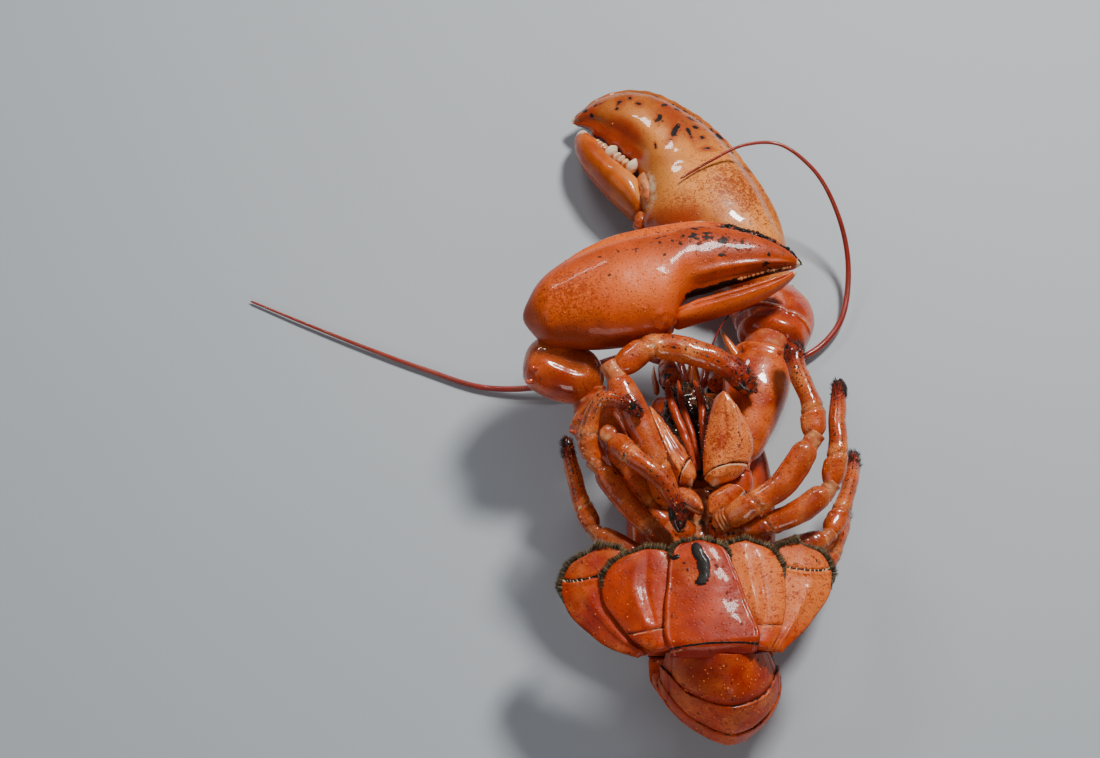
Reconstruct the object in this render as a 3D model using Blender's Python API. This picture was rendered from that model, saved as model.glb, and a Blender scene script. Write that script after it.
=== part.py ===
"""A cooked lobster lying on its back, its tail curled round so that the fan lies over its belly.

Metres, +Z up.  The head points to +Y, the belly faces up, and z = 0 is the surface that it rests on.
Because the animal lies on its back, its own left side is at +X and its own right side at -X.
Every piece of shell is a closed solid carried along a spine: a ring of points, a rounded or
flattened oval, is worked out at each station and joined to the next one.
Lengths below are written in millimetres and turned into metres in one place, by solid().
"""

import bpy
import numpy as np
from math import pi, radians

MM = 0.001
GAP = 0.3
SHARP_ANGLE = radians(38)

# --- body ---------------------------------------------------------------------------------------
BODY_REAR = -38.0
BODY_FRONT = 61.0
ROSTRUM_TIP = 79.0
BODY_HALF_WIDTH = 29.0
BELLY_HEIGHT = 43.0
STERNUM_TOP = 47.5
# y, half width, back (lowest), widest level, belly (highest)
CARAPACE_STATIONS = (
    (BODY_REAR, 22.5, 2.5, 21.0, 38.5),
    (-30.0, 26.0, -0.4, 23.0, 42.0),
    (-10.0, 28.5, -1.6, 24.0, BELLY_HEIGHT),
    (14.0, BODY_HALF_WIDTH, -1.6, 24.0, BELLY_HEIGHT),
    (34.0, 26.0, -0.4, 22.0, 38.0),
    (48.0, 20.5, 2.0, 19.0, 31.0),
    (57.0, 15.0, 4.0, 16.0, 25.5),
    (BODY_FRONT, 6.0, 5.0, 10.5, 16.0),
    (66.0, 3.6, 6.0, 9.5, 13.0),
    (ROSTRUM_TIP, 0.8, 8.0, 9.0, 10.0),
)

# --- tail ---------------------------------------------------------------------------------------
CURL_CENTRE_Y = -55.0
CURL_CENTRE_Z = 33.0
CURL_RADIUS = 33.5
CURL_HOLLOW = 6.5
TAIL_YAW = radians(9.5)
# the planes between the rings of the tail, as angles round the curl's centre, and half widths there
TAIL_JOINTS = (283.0, 243.0, 206.0, 172.0, 143.0, 107.0)
TAIL_HALF_WIDTHS = (24.0, 25.5, 25.0, 24.3, 23.2, 18.8)
RIM_STEP = 0.9
FAN_BASE_Y = -64.0
FAN_BASE_HEIGHT = 65.0
FAN_TIP_HEIGHT = 60.0

# --- claws and arms -----------------------------------------------------------------------------
CRUSHER_SPINE = ((27, 104, 15), (15, 129, 19), (2, 159, 19), (-13.5, 184.5, 16), (-34, 195, 12), (-50, 193, 9))
CRUSHER_THUMB_SPINE = ((-25, 145, 15), (-32, 155.5, 16), (-39.5, 165, 15), (-44.5, 174, 12.5), (-47, 184.5, 8.5))
CUTTER_SPINE = ((-69, 71, 60), (-50, 79, 62), (-30, 83, 63), (-14, 88.5, 63), (-3, 96.5, 63),
                (16, 99.5, 62.5), (30, 98.5, 62), (41.5, 95, 61))
CUTTER_THUMB_SPINE = ((-4, 69, 60), (7, 74.5, 60), (18, 80.7, 60), (29, 86.8, 60), (39.8, 91.5, 60))

# --- walking legs -------------------------------------------------------------------------------
# each leg: its thickness, the upper part from body to knee, the lower part from knee to tip
LEGS = {
    "right_1": (4.8, ((-13.5, -1.0, 50.5), (-17, 5, 60.5), (-23, 20, 66), (-33, 43, 68)),
                ((-36, 48.6, 68), (-19, 57, 68), (-3, 55, 67), (12, 48.5, 64), (19.5, 41, 60))),
    "right_2": (4.2, ((-13, -10.5, 49.5), (-19.5, -5, 50.5), (-28, 9, 54.5), (-34, 21, 57.5)),
                ((-37, 21, 67.5), (-29, 11, 70.5), (-15, -2, 69), (-11, -10, 65), (-10, -16, 62))),
    "right_3": (3.8, ((-11.5, -18.6, 50.5), (-17, -15.5, 52.5), (-27, -6, 55.5), (-39, 9.5, 58.5)),
                ((-42.5, 12.5, 60.5), (-44.5, 20, 64), (-38.5, 33, 71.5), (-31, 30.5, 74.5), (-24, 25, 74))),
    "right_4": (3.6, ((-12, -25, 48), (-20, -23, 47), (-31, -17, 46), (-40, -12, 45)),
                ((-43, -8.5, 45), (-46.5, 0, 46), (-50, 13, 48), (-52, 21, 50), (-53, 27, 51))),
    "left_1": (4.4, ((7, -9, 53), (14, -6, 58), (27, 1, 62), (39, 17, 65)),
               ((41.3, 20.5, 65.8), (41, 31, 66), (37, 46, 65), (35.5, 54, 64), (35, 61, 63))),
    "left_2": (4.0, ((13, -12, 50), (22, -11, 54), (34, -7, 57), (45, 0, 58)),
               ((47.5, 3.4, 59), (50, 15, 61), (51, 30, 60), (52, 40, 58), (53, 49, 55))),
    "left_3": (3.7, ((12.5, -20, 48.5), (21, -20, 48), (33, -17, 46), (45, -13, 43)),
               ((48, -10, 42.5), (53, 0, 41), (58, 14, 37), (60, 22, 33), (61, 30, 29))),
    "left_4": (3.5, ((12, -28, 47.5), (21, -30, 46), (32, -29, 42), (42, -26, 37)),
               ((45, -23.3, 35), (50, -14, 31), (55, -2, 25), (57, 5, 20), (58, 12, 14))),
}

# --- feelers ------------------------------------------------------------------------------------
RIGHT_FEELER_ROUTE = (
    (-12, 76, 18), (-24, 80, 13), (-42, 77, 8), (-62, 70, 4.5), (-85, 70, 2.2),
    (-112, 79, 1.8), (-138, 89.5, 1.8), (-162, 100, 1.6), (-186, 111, 1.2),
)
LEFT_FEELER_ROUTE = (
    (12, 77, 18), (26, 79, 10), (48, 84, 4), (62, 98, 4), (67, 120, 9), (62, 142, 22),
    (50, 157, 36), (36, 165, 42), (22, 164, 43.5), (8, 157, 42.5), (-5, 149, 41),
)

# --- colours ------------------------------------------------------------------------------------
SHELL_RED = (0.53, 0.075, 0.018, 1)
SHELL_ORANGE = (0.66, 0.15, 0.035, 1)
CLAW_ORANGE = (0.62, 0.20, 0.07, 1)
MEMBRANE_CREAM = (0.62, 0.40, 0.22, 1)
MOUTH_BROWN = (0.10, 0.03, 0.018, 1)
FEELER_RED = (0.36, 0.02, 0.012, 1)
EYE_BLACK = (0.01, 0.008, 0.008, 1)


def clear_scene():
    for old in list(bpy.data.objects):
        bpy.data.objects.remove(old, do_unlink=True)


def finish(name, colour, roughness):
    found = bpy.data.materials.get(name)
    if found:
        return found
    made = bpy.data.materials.new(name)
    made.use_nodes = True
    shader = made.node_tree.nodes["Principled BSDF"]
    shader.inputs["Base Color"].default_value = colour
    shader.inputs["Roughness"].default_value = roughness
    shader.inputs["Metallic"].default_value = 0.0
    return made


def shell_red():
    return finish("shell_red", SHELL_RED, 0.28)


def shell_orange():
    return finish("shell_orange", SHELL_ORANGE, 0.3)


def claw_orange():
    return finish("claw_orange", CLAW_ORANGE, 0.25)


def membrane_cream():
    return finish("membrane_cream", MEMBRANE_CREAM, 0.5)


def mouth_brown():
    return finish("mouth_brown", MOUTH_BROWN, 0.6)


def feeler_red():
    return finish("feeler_red", FEELER_RED, 0.35)


def eye_black():
    return finish("eye_black", EYE_BLACK, 0.15)


# --- shapes -------------------------------------------------------------------------------------

def curve(keys, t):
    """A smooth line through keys, rows of (parameter, values...), read at the parameters t."""
    keys = np.asarray(keys, float)
    at, values = keys[:, 0], keys[:, 1:]
    slopes = np.gradient(values, at, axis=0)
    i = np.clip(np.searchsorted(at, t, side="right") - 1, 0, len(at) - 2)
    span = (at[i + 1] - at[i])[:, None]
    s = ((t - at[i]) / span[:, 0])[:, None]
    start = (1 + 2 * s) * (1 - s) ** 2 * values[i] + s * (1 - s) ** 2 * span * slopes[i]
    end = s * s * (3 - 2 * s) * values[i + 1] - s * s * (1 - s) * span * slopes[i + 1]
    return start + end


def spine_through(points, t):
    """A smooth line through the points, with t running from 0 at the first to 1 at the last."""
    points = np.asarray(points, float)
    steps = np.linalg.norm(np.diff(points, axis=0), axis=1)
    along = np.concatenate([[0], np.cumsum(steps)]) / steps.sum()
    return curve(np.column_stack([along, points]), t)


def unit(vectors):
    return vectors / np.linalg.norm(vectors, axis=-1, keepdims=True)


def oval(sides, power=2.0):
    """Points round a superellipse of half axes 1: power 2 is an ellipse, more is squarer."""
    angle = np.arange(sides) * 2 * pi / sides
    across, up = np.cos(angle), np.sin(angle)
    return (np.sign(across) * np.abs(across) ** (2 / power), np.sign(up) * np.abs(up) ** (2 / power))


def rounded(t, start, end):
    """1 along the middle of a piece, falling to a small flat at each end along a quarter circle."""
    lead = np.clip(t / max(start, 1e-6), 0, 1)
    tail = np.clip((1 - t) / max(end, 1e-6), 0, 1)
    return np.sqrt(np.clip(1 - (1 - np.minimum(lead, tail)) ** 2, 0.02, 1))


def solid(name, rings, material, base=None):
    """One closed body through rings of points in millimetres; base is where its origin lies."""
    rings = np.asarray(rings, float)
    count, sides = rings.shape[:2]
    origin = rings[0].mean(axis=0) if base is None else np.asarray(base, float)
    corner = np.arange(count * sides).reshape(count, sides)
    after = np.roll(corner, -1, axis=1)
    walls = np.stack([corner[:-1], after[:-1], after[1:], corner[1:]], axis=-1).reshape(-1, 4)
    faces = walls.tolist() + [corner[0, ::-1].tolist(), corner[-1].tolist()]
    mesh = bpy.data.meshes.new(name)
    mesh.from_pydata(((rings.reshape(-1, 3) - origin) * MM).tolist(), [], faces)
    mesh.shade_smooth()
    mesh.set_sharp_from_angle(angle=SHARP_ANGLE)
    mesh.materials.append(material)
    piece = bpy.data.objects.new(name, mesh)
    bpy.context.collection.objects.link(piece)
    piece.location = origin * MM
    return piece


def swept(spine, widths, heights, sides, hint=(0, 0, 1), power=2.0):
    """Rings round a spine: the oval's wide axis lies across the spine, level with the hint."""
    along = unit(np.gradient(spine, axis=0))
    across = unit(np.cross(along, np.asarray(hint, float)))
    up = np.cross(across, along)
    wide, tall = oval(sides, power)
    rings = (spine[:, None]
             - across[:, None] * (wide[None] * widths[:, None])[..., None]
             + up[:, None] * (tall[None] * heights[:, None])[..., None])
    rings[..., 2] = np.maximum(rings[..., 2], 0.0)
    return rings


def shell_piece(name, points, width_keys, height_keys, stations, sides, material,
                ends=(0.06, 0.06), hint=(0, 0, 1), power=2.0):
    """A piece along a spine, its half width and half height read from keys of (0..1, size)."""
    t = (1 - np.cos(np.linspace(0, pi, stations))) / 2
    spine = spine_through(points, t)
    shape = rounded(t, *ends)
    widths = curve(width_keys, t)[:, 0] * shape
    heights = curve(height_keys, t)[:, 0] * shape
    return solid(name, swept(spine, widths, heights, sides, hint, power), material)


# --- body and tail ------------------------------------------------------------------------------

def belly_height(y):
    """The height of the carapace's belly side along its middle."""
    rows = [(row[0], row[4]) for row in CARAPACE_STATIONS]
    return curve(rows, np.atleast_1d(np.asarray(y, float)))[:, 0]


def upright_rings(y, x, half, low, wide, high, sides, power):
    """Upright rings across the body at each y, deeper below the widest level or above it."""
    across, up = oval(sides, power)
    depth = np.where(up[None] < 0, (wide - low)[:, None], (high - wide)[:, None])
    level = np.maximum(wide[:, None] + up[None] * depth, 0.0)
    aside = x[:, None] - across[None] * half[:, None]
    return np.stack([aside, np.broadcast_to(y[:, None], aside.shape), level], axis=-1)


def carapace():
    """The back shield: a round back below, a flatter belly side above, and the rostrum's spike."""
    y = np.concatenate([np.linspace(BODY_REAR, BODY_FRONT, 13), [66.0, 72.0, ROSTRUM_TIP]])
    half, low, wide, high = curve(CARAPACE_STATIONS, y).T
    rings = upright_rings(y, np.zeros_like(y), half, low, wide, high, 20, 2.25)
    return solid("carapace", rings, shell_red(), base=(0, 0, 0))


def sternum():
    """The narrow plate between the leg bases, standing on the belly."""
    y = np.linspace(BODY_REAR + 4, 6.0, 7)
    low = belly_height(y) + 2 * GAP
    widths = np.linspace(8.0, 5.5, len(y))
    middle = (low + STERNUM_TOP) / 2
    rings = upright_rings(y, 0 * y, widths, low, middle, 0 * y + STERNUM_TOP, 8, 4.0)
    return solid("sternum", rings, membrane_cream())


def tail_oval(sides):
    """The tail's outline: a rather pointed arch over its back and square lower edges."""
    arch_across, arch_up = oval(sides, 1.65)
    edge_across, edge_up = oval(sides, 3.0)
    return (np.where(arch_up > 0, arch_across, edge_across), np.where(arch_up > 0, arch_up, edge_up))


def tail_plane(angle, step, half_width, sides):
    """One ring of the tail: a half barrel from the curl's hollow out to its back."""
    turn = radians(angle)
    outward = np.array([np.cos(turn), np.sin(turn)])
    radius = CURL_RADIUS + step
    widest = 0.33 * radius
    across, up = tail_oval(sides)
    reach = np.where(up > 0, widest + up * (radius - widest), widest + up * (widest - CURL_HOLLOW))
    y = CURL_CENTRE_Y + outward[0] * reach
    z = CURL_CENTRE_Z + outward[1] * reach
    return np.stack([across * half_width, y, np.maximum(z, 0.0)], axis=-1)


def yawed(rings):
    """The tail turned a little about an upright line where it leaves the body."""
    turned = np.array(rings)
    y = turned[..., 1] - BODY_REAR
    turned[..., 0] += -np.sin(TAIL_YAW) * y * np.clip(-y / 10.0, 0, 1)
    return turned


def first_ring():
    """The short first ring of the tail, which fills the wedge between body and curl."""
    sides = 16
    across, up = tail_oval(sides)
    front_y = BODY_REAR - GAP
    z = np.where(up > 0, 17 - 15.5 * up, 17 - 21 * up)
    front = np.stack([across * 22, np.full(sides, front_y), z], axis=-1)
    middle = tail_plane(TAIL_JOINTS[0] + 16, -0.6, 24, sides)
    middle[:, 1] = np.minimum(middle[:, 1], front_y - 2.5)
    rear = tail_plane(TAIL_JOINTS[0] + 0.5, 0, TAIL_HALF_WIDTHS[0], sides)
    return solid("tail_ring_1", yawed([rear, middle, front]), shell_red())


def tail_ring(number):
    """A ring of the tail between two planes; its rear rim stands a little proud of the next ring."""
    start, stop = TAIL_JOINTS[number - 2:number]
    wide_start, wide_stop = TAIL_HALF_WIDTHS[number - 2:number]
    clear = 0.4
    angles = np.linspace(start - clear, stop + clear, 5)
    t = np.linspace(0, 1, 5)
    steps = curve(((0, -1.0), (0.25, -0.1), (1, RIM_STEP)), t)[:, 0]
    widths = wide_start + (wide_stop - wide_start) * t
    rings = [tail_plane(a, s, w, 16) for a, s, w in zip(angles, steps, widths)]
    return solid(f"tail_ring_{number}", yawed(rings[::-1]), shell_red())


def fan_blade(name, base, tip, widths, drop, tilt, thickness=3.0):
    """One flat blade of the tail fan, from its root to its rounded outer edge."""
    base_point = np.array([base[0], base[1], FAN_BASE_HEIGHT - drop])
    tip_point = np.array([tip[0], tip[1], FAN_TIP_HEIGHT - drop])
    keys = [(0.0, widths[0]), (0.35, widths[1]), (0.75, widths[2]), (1.0, widths[3])]
    flat = [(0.0, thickness / 2), (1.0, thickness / 2)]
    lean = (np.sin(radians(tilt)), 0, np.cos(radians(tilt)))
    return shell_piece(name, (base_point, (base_point + tip_point) / 2, tip_point), keys, flat, 8, 10,
                       shell_red(), ends=(0.05, 0.22), hint=lean, power=2.6)


def tail_fan():
    pieces = [fan_blade("telson", (1.5, FAN_BASE_Y), (-3, -22), (15, 16.5, 13.5, 12), 0, 0, 3.6)]
    layout = (
        ("right_inner", (-15, -61), (-28, -24), (5, 11, 12.5, 11), 4.2, 6),
        ("right_outer", (-22, -60), (-46, -26), (5, 11, 13, 11), 8.6, 16),
        ("left_inner", (17, -61), (18.5, -21), (5, 10, 11.5, 10), 4.2, -6),
        ("left_outer", (23, -60), (39, -26), (5, 10, 11.5, 10), 8.6, -16),
    )
    for side, base, tip, widths, drop, tilt in layout:
        pieces.append(fan_blade("fan_" + side, base, tip, widths, drop, tilt))
    return pieces


# --- claws and arms -----------------------------------------------------------------------------

def crusher_claw():
    """The heavy claw: a broad palm with its fixed finger, and the thumb that closes on it."""
    palm = shell_piece(
        "crusher_palm", CRUSHER_SPINE,
        ((0, 11), (0.10, 20), (0.28, 27.5), (0.45, 26), (0.58, 18.8), (0.75, 14), (0.9, 8), (1, 2.5)),
        ((0, 9), (0.12, 14.5), (0.3, 19.5), (0.5, 16.5), (0.65, 12), (0.85, 7), (1, 2.5)),
        15, 16, claw_orange(), ends=(0.03, 0.03))
    thumb = shell_piece(
        "crusher_thumb", CRUSHER_THUMB_SPINE,
        ((0, 3.5), (0.3, 7.8), (0.6, 7.5), (0.85, 4.5), (1, 1.5)),
        ((0, 9), (0.3, 10), (0.6, 8), (0.85, 5), (1, 2)),
        10, 12, claw_orange(), ends=(0.06, 0.05))
    return [palm, thumb]


def cutter_claw():
    """The slender claw: a long palm with its fixed finger, and a thin straight thumb."""
    palm = shell_piece(
        "cutter_palm", CUTTER_SPINE,
        ((0, 10), (0.18, 18.5), (0.35, 23), (0.45, 22), (0.55, 15.8), (0.62, 15), (0.78, 12), (0.9, 7), (1, 2)),
        ((0, 9), (0.12, 12.5), (0.3, 14), (0.5, 12.5), (0.7, 8.5), (0.9, 4.5), (1, 2)),
        15, 16, claw_orange(), ends=(0.03, 0.03))
    thumb = shell_piece(
        "cutter_thumb", CUTTER_THUMB_SPINE,
        ((0, 4.5), (0.25, 4.6), (0.6, 3.6), (0.85, 2.2), (1, 1.0)),
        ((0, 7), (0.25, 7), (0.6, 5.5), (0.85, 3.5), (1, 1.5)),
        9, 10, claw_orange(), ends=(0.06, 0.05))
    return [palm, thumb]


def arms():
    """Each claw's arm, in three pieces: the short base, the long upper arm and the wrist block."""
    pieces = []
    layout = (
        ("arm_base_right", ((-13.5, 8.5, 47.5), (-17.5, 12.5, 47.5)), 4.8, 5.0, 4.2, 4.5),
        ("arm_upper_right", ((-20.5, 16.5, 46.5), (-34, 27.5, 43.5), (-49, 40, 41.5)), 5.5, 11.0, 4.8, 9.5),
        ("arm_wrist_right", ((-46.5, 54, 46.5), (-57, 55.5, 47.5), (-66.5, 59, 51)), 8.0, 10.5, 7.5, 8.5),
        ("arm_base_left", ((13, 3, 47.5), (13, 14, 47.5)), 5.0, 5.5, 4.2, 4.5),
        ("arm_upper_left", ((14, 18.5, 47.5), (20, 42, 45.5), (27, 68, 42.5)), 6.0, 12.0, 5.0, 10.0),
        ("arm_wrist_left", ((29, 72, 41), (32, 86, 33), (28.5, 98, 22)), 11.5, 15.5, 9.5, 10.5),
    )
    for name, points, start_width, end_width, start_height, end_height in layout:
        widths = ((0, start_width), (0.65, 1.03 * end_width), (1, 0.9 * end_width))
        heights = ((0, start_height), (0.65, 1.03 * end_height), (1, 0.9 * end_height))
        pieces.append(shell_piece(name, points, widths, heights, 7, 12, shell_orange(),
                                  ends=(0.12, 0.12)))
    return pieces


# --- legs, mouth and feelers --------------------------------------------------------------------

def leg(side, thickness, upper, lower):
    """A walking leg in two pieces: hip to knee, then knee to tip with a pinch at each inner joint."""
    hip = shell_piece(
        f"leg_{side}_upper", upper,
        ((0, 0.95 * thickness), (0.18, thickness), (0.3, 0.82 * thickness), (0.45, thickness),
         (0.85, 1.06 * thickness), (1, 0.9 * thickness)),
        ((0, 0.85 * thickness), (0.3, 0.8 * thickness), (1, 0.85 * thickness)),
        9, 8, shell_orange(), ends=(0.07, 0.07))
    shin = shell_piece(
        f"leg_{side}_lower", lower,
        ((0, 0.85 * thickness), (0.16, 1.02 * thickness), (0.27, 0.8 * thickness), (0.4, 0.95 * thickness),
         (0.65, 0.9 * thickness), (0.8, 0.6 * thickness), (1, 0.2 * thickness)),
        ((0, 0.8 * thickness), (0.27, 0.75 * thickness), (0.6, 0.8 * thickness), (1, 0.2 * thickness)),
        10, 8, shell_orange(), ends=(0.07, 0.04))
    return [hip, shin]


def mouth_field():
    """The packed small mouthparts between the two large jaw legs, as one low mound."""
    y = np.linspace(13, 55, 8)
    t = np.linspace(0, 1, len(y))
    low = belly_height(y) + 3 * GAP
    high = np.linspace(49.5, 41, len(y))
    widths = 8.5 * rounded(t, 0.2, 0.3)
    rings = upright_rings(y, -1 - 4 * t, widths, low, (low + high) / 2, high, 10, 2.5)
    return solid("mouthparts", rings, mouth_brown())


def jaw_legs():
    """The two leaf-shaped jaw legs that cover the mouth."""
    keys = ((0, 4.0), (0.3, 1.0), (0.7, 0.85), (1, 0.35))
    pieces = []
    for side, points, width in (
        ("right", ((-4.8, 9, 53.5), (-9, 22, 55), (-16, 37, 56)), 5.8),
        ("left", ((3.6, 9, 54), (8, 24, 57.5), (11.5, 39, 59.5)), 7.2),
    ):
        widths = tuple((t, (size if size > 1.5 else size * width)) for t, size in keys)
        heights = ((0, 2.5), (0.4, 3.0), (1, 1.6))
        pieces.append(shell_piece(f"jaw_leg_{side}", points, widths, heights, 8, 10, shell_orange(),
                                  ends=(0.08, 0.12)))
    return pieces


def head_pieces():
    """Eyes, feeler bases, small feelers and the flat feeler scales, the same on both sides."""
    pieces = []
    for side, x in (("right", -1), ("left", 1)):
        pieces.append(shell_piece(
            f"feeler_base_{side}", ((9 * x, 59.5, 26), (10.5 * x, 67, 22), (11.5 * x, 74.5, 18.5)),
            ((0, 4.6), (0.5, 4.4), (1, 3.0)), ((0, 4.4), (0.5, 4.2), (1, 3.0)), 6, 8, shell_red(),
            ends=(0.1, 0.1)))
        pieces.append(shell_piece(
            f"feeler_scale_{side}", ((15.5 * x, 60, 21), (16.5 * x, 66, 18.5), (16.5 * x, 73, 16)),
            ((0, 1.2), (0.5, 1.1), (1, 0.6)), ((0, 3.2), (0.4, 4.5), (1, 1.2)), 6, 8, shell_red()))
        pieces.append(shell_piece(
            f"eye_{side}", ((7.8 * x, 62.0, 8.5), (9.2 * x, 68.6, 8.5)), ((0, 3.3), (1, 3.3)),
            ((0, 3.3), (1, 3.3)), 7, 10, eye_black(), ends=(0.5, 0.5)))
        pieces.append(shell_piece(
            f"small_feeler_{side}", ((3.4 * x, 62.5, 18.5), (5 * x, 72, 17), (11 * x, 92, 11), (20 * x, 108, 4)),
            ((0, 2.0), (0.25, 1.5), (0.4, 0.7), (1, 0.4)), ((0, 2.0), (0.25, 1.5), (0.4, 0.7), (1, 0.4)),
            12, 6, feeler_red()))
    return pieces


def feeler(name, route):
    """One long whip-like feeler, thick where it leaves the head and fine at its tip."""
    size = ((0, 1.7), (0.4, 1.25), (1, 0.5))
    t = np.linspace(0, 1, 36)
    spine = spine_through(route, t)
    spine[:, 2] = np.maximum(spine[:, 2], curve(size, t)[:, 0] + 0.1)
    radii = curve(size, t)[:, 0]
    return solid(name, swept(spine, radii, radii, 6), feeler_red())


def main():
    clear_scene()
    lobster = bpy.data.objects.new("lobster", None)
    bpy.context.collection.objects.link(lobster)
    pieces = [carapace(), sternum(), first_ring()]
    pieces += [tail_ring(number) for number in range(2, 7)]
    pieces += tail_fan()
    pieces += crusher_claw() + cutter_claw() + arms()
    for side, (thickness, upper, lower) in LEGS.items():
        pieces += leg(side, thickness, upper, lower)
    pieces.append(mouth_field())
    pieces += jaw_legs() + head_pieces()
    pieces.append(feeler("feeler_right", RIGHT_FEELER_ROUTE))
    pieces.append(feeler("feeler_left", LEFT_FEELER_ROUTE))
    for piece in pieces:
        piece.parent = lobster


main()
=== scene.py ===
"""The look of a cooked lobster that lies on its back with its tail curled over its belly.

Every visible piece is a surface worked out with numpy over two parameters: t runs along the piece
from 0 to 1, and the angle runs round it.  Lengths in the shape functions are millimetres, and
Bundle.make() turns them into metres.  The animal's head points to +Y and its belly faces up, so
its own left side is at +X.  Colour masks are worked out on the same grids and stored on the
points as attributes, and the materials read them together with procedural patterns.

In the calls that lift and paint a skin, a place along it is a t, a place round it is an angle in
half turns, and a place on it seen from above is an x and a y.  A strength comes first, then the
place, then how far the effect reaches.  The last number given to a noise only shifts it, so that
no two of its uses are alike.
"""

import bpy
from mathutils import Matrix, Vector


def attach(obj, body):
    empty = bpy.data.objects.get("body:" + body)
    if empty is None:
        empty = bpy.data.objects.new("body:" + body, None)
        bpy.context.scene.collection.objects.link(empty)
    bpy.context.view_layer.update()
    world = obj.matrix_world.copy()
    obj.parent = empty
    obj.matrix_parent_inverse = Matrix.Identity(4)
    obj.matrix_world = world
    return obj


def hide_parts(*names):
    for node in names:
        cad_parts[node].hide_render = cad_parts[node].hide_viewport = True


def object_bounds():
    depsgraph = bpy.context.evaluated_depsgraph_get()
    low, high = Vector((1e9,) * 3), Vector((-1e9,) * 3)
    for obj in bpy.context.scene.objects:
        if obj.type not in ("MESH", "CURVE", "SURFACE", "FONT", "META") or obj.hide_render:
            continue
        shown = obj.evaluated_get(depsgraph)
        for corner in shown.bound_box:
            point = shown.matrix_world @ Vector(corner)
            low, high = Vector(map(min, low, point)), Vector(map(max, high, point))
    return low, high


bl_info = {
    "name": "Cooked lobster",
    "version": (1, 0, 0),
    "blender": (4, 5, 0),
    "location": "3D View > Sidebar > Lobster",
    "description": "Builds the finished surfaces and materials of a cooked lobster",
    "category": "Object",
}

from math import cos, pi, radians, sin

import bpy
import numpy as np
from bpy.props import FloatProperty, FloatVectorProperty, PointerProperty
from mathutils import Vector

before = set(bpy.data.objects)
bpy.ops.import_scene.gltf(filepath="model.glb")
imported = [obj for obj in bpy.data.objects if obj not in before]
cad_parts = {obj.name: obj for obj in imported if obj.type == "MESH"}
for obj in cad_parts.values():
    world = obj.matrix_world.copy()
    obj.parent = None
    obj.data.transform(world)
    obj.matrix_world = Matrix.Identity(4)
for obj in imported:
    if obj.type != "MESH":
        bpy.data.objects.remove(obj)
CAD_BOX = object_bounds()

MM = 0.001
LOWEST_LEVEL = 0.02
UP = np.array([0.0, 0.0, 1.0])
MASKS = ("light", "deep", "worms", "black", "pale")

# --- the animal's named forms, the same as the solids' --------------------------------------------

# Along the back shield: y, half width, lowest level, level of the widest part, highest level.
BODY_REAR, HEAD_FRONT, SPIKE_TIP = -38.0, 61.0, 79.0
CARAPACE_STATIONS = (
    (BODY_REAR, 22.5, 2.5, 21.0, 38.5), (-30.0, 26.0, -0.4, 23.0, 42.0), (-10.0, 28.5, -1.6, 24.0, 43.0),
    (14.0, 29.0, -1.6, 24.0, 43.0), (34.0, 26.0, -0.4, 22.0, 38.0), (48.0, 20.5, 2.0, 19.0, 31.0),
    (57.0, 15.0, 4.0, 16.0, 25.5), (HEAD_FRONT, 6.0, 5.0, 10.5, 16.0), (66.0, 3.6, 6.0, 9.5, 13.0),
    (SPIKE_TIP, 0.8, 8.0, 9.0, 10.0),
)

# The tail curls round a line across the animal; its joints are angles in degrees round that line.
CURL_CENTRE_Y, CURL_CENTRE_Z = -55.0, 33.0
CURL_RADIUS, CURL_HOLLOW = 33.5, 6.5
TAIL_YAW = radians(9.5)
TAIL_JOINTS = (283.0, 243.0, 206.0, 172.0, 143.0, 107.0)
TAIL_HALF_WIDTHS = (24.0, 24.6, 23.2, 22.4, 22.0, 18.8)
SIDE_FLAPS = {2: 8.0, 3: 8.0, 4: 8.0, 5: 13.0, 6: 3.0}

# Each walking leg: its thickness, and the middle lines of its upper and its lower part.
LEGS = {
    "right_1": (4.8, ((-13.5, -1.0, 50.5), (-17, 5, 60.5), (-23, 20, 66), (-33, 43, 68)),
                ((-36, 48.6, 68), (-19, 57, 68), (-3, 55, 67), (12, 48.5, 64), (19.5, 41, 60))),
    "right_2": (4.2, ((-13, -10.5, 49.5), (-19.5, -5, 50.5), (-28, 9, 54.5), (-34, 21, 57.5)),
                ((-37, 21, 67.5), (-29, 11, 70.5), (-15, -2, 69), (-11, -10, 65), (-10, -16, 62))),
    "right_3": (3.8, ((-11.5, -18.6, 50.5), (-17, -15.5, 52.5), (-27, -6, 55.5), (-39, 9.5, 58.5)),
                ((-42.5, 12.5, 60.5), (-44.5, 20, 64), (-38.5, 33, 71.5), (-31, 30.5, 74.5),
                 (-24, 25, 74))),
    "right_4": (3.6, ((-12, -25, 48), (-20, -23, 47), (-31, -17, 46), (-40, -12, 45)),
                ((-43, -8.5, 45), (-46.5, 0, 46), (-50, 13, 48), (-52, 21, 50), (-53, 27, 51))),
    "left_1": (4.4, ((7, -9, 53), (14, -6, 58), (27, 1, 62), (39, 17, 65)),
               ((41.3, 20.5, 65.8), (41, 31, 66), (37, 46, 65), (35.5, 54, 64), (35, 61, 63))),
    "left_2": (4.0, ((13, -12, 50), (22, -11, 54), (34, -7, 57), (45, 0, 58)),
               ((47.5, 3.4, 59), (50, 15, 61), (51, 30, 60), (52, 40, 58), (53, 49, 55))),
    "left_3": (3.7, ((12.5, -20, 48.5), (21, -20, 48), (33, -17, 46), (45, -13, 43)),
               ((48, -10, 42.5), (53, 0, 41), (58, 14, 37), (60, 22, 33), (61, 30, 29))),
    "left_4": (3.5, ((12, -28, 47.5), (21, -30, 46), (32, -29, 42), (42, -26, 37)),
               ((45, -23.3, 35), (50, -14, 31), (55, -2, 25), (57, 5, 20), (58, 12, 14))),
}
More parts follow.
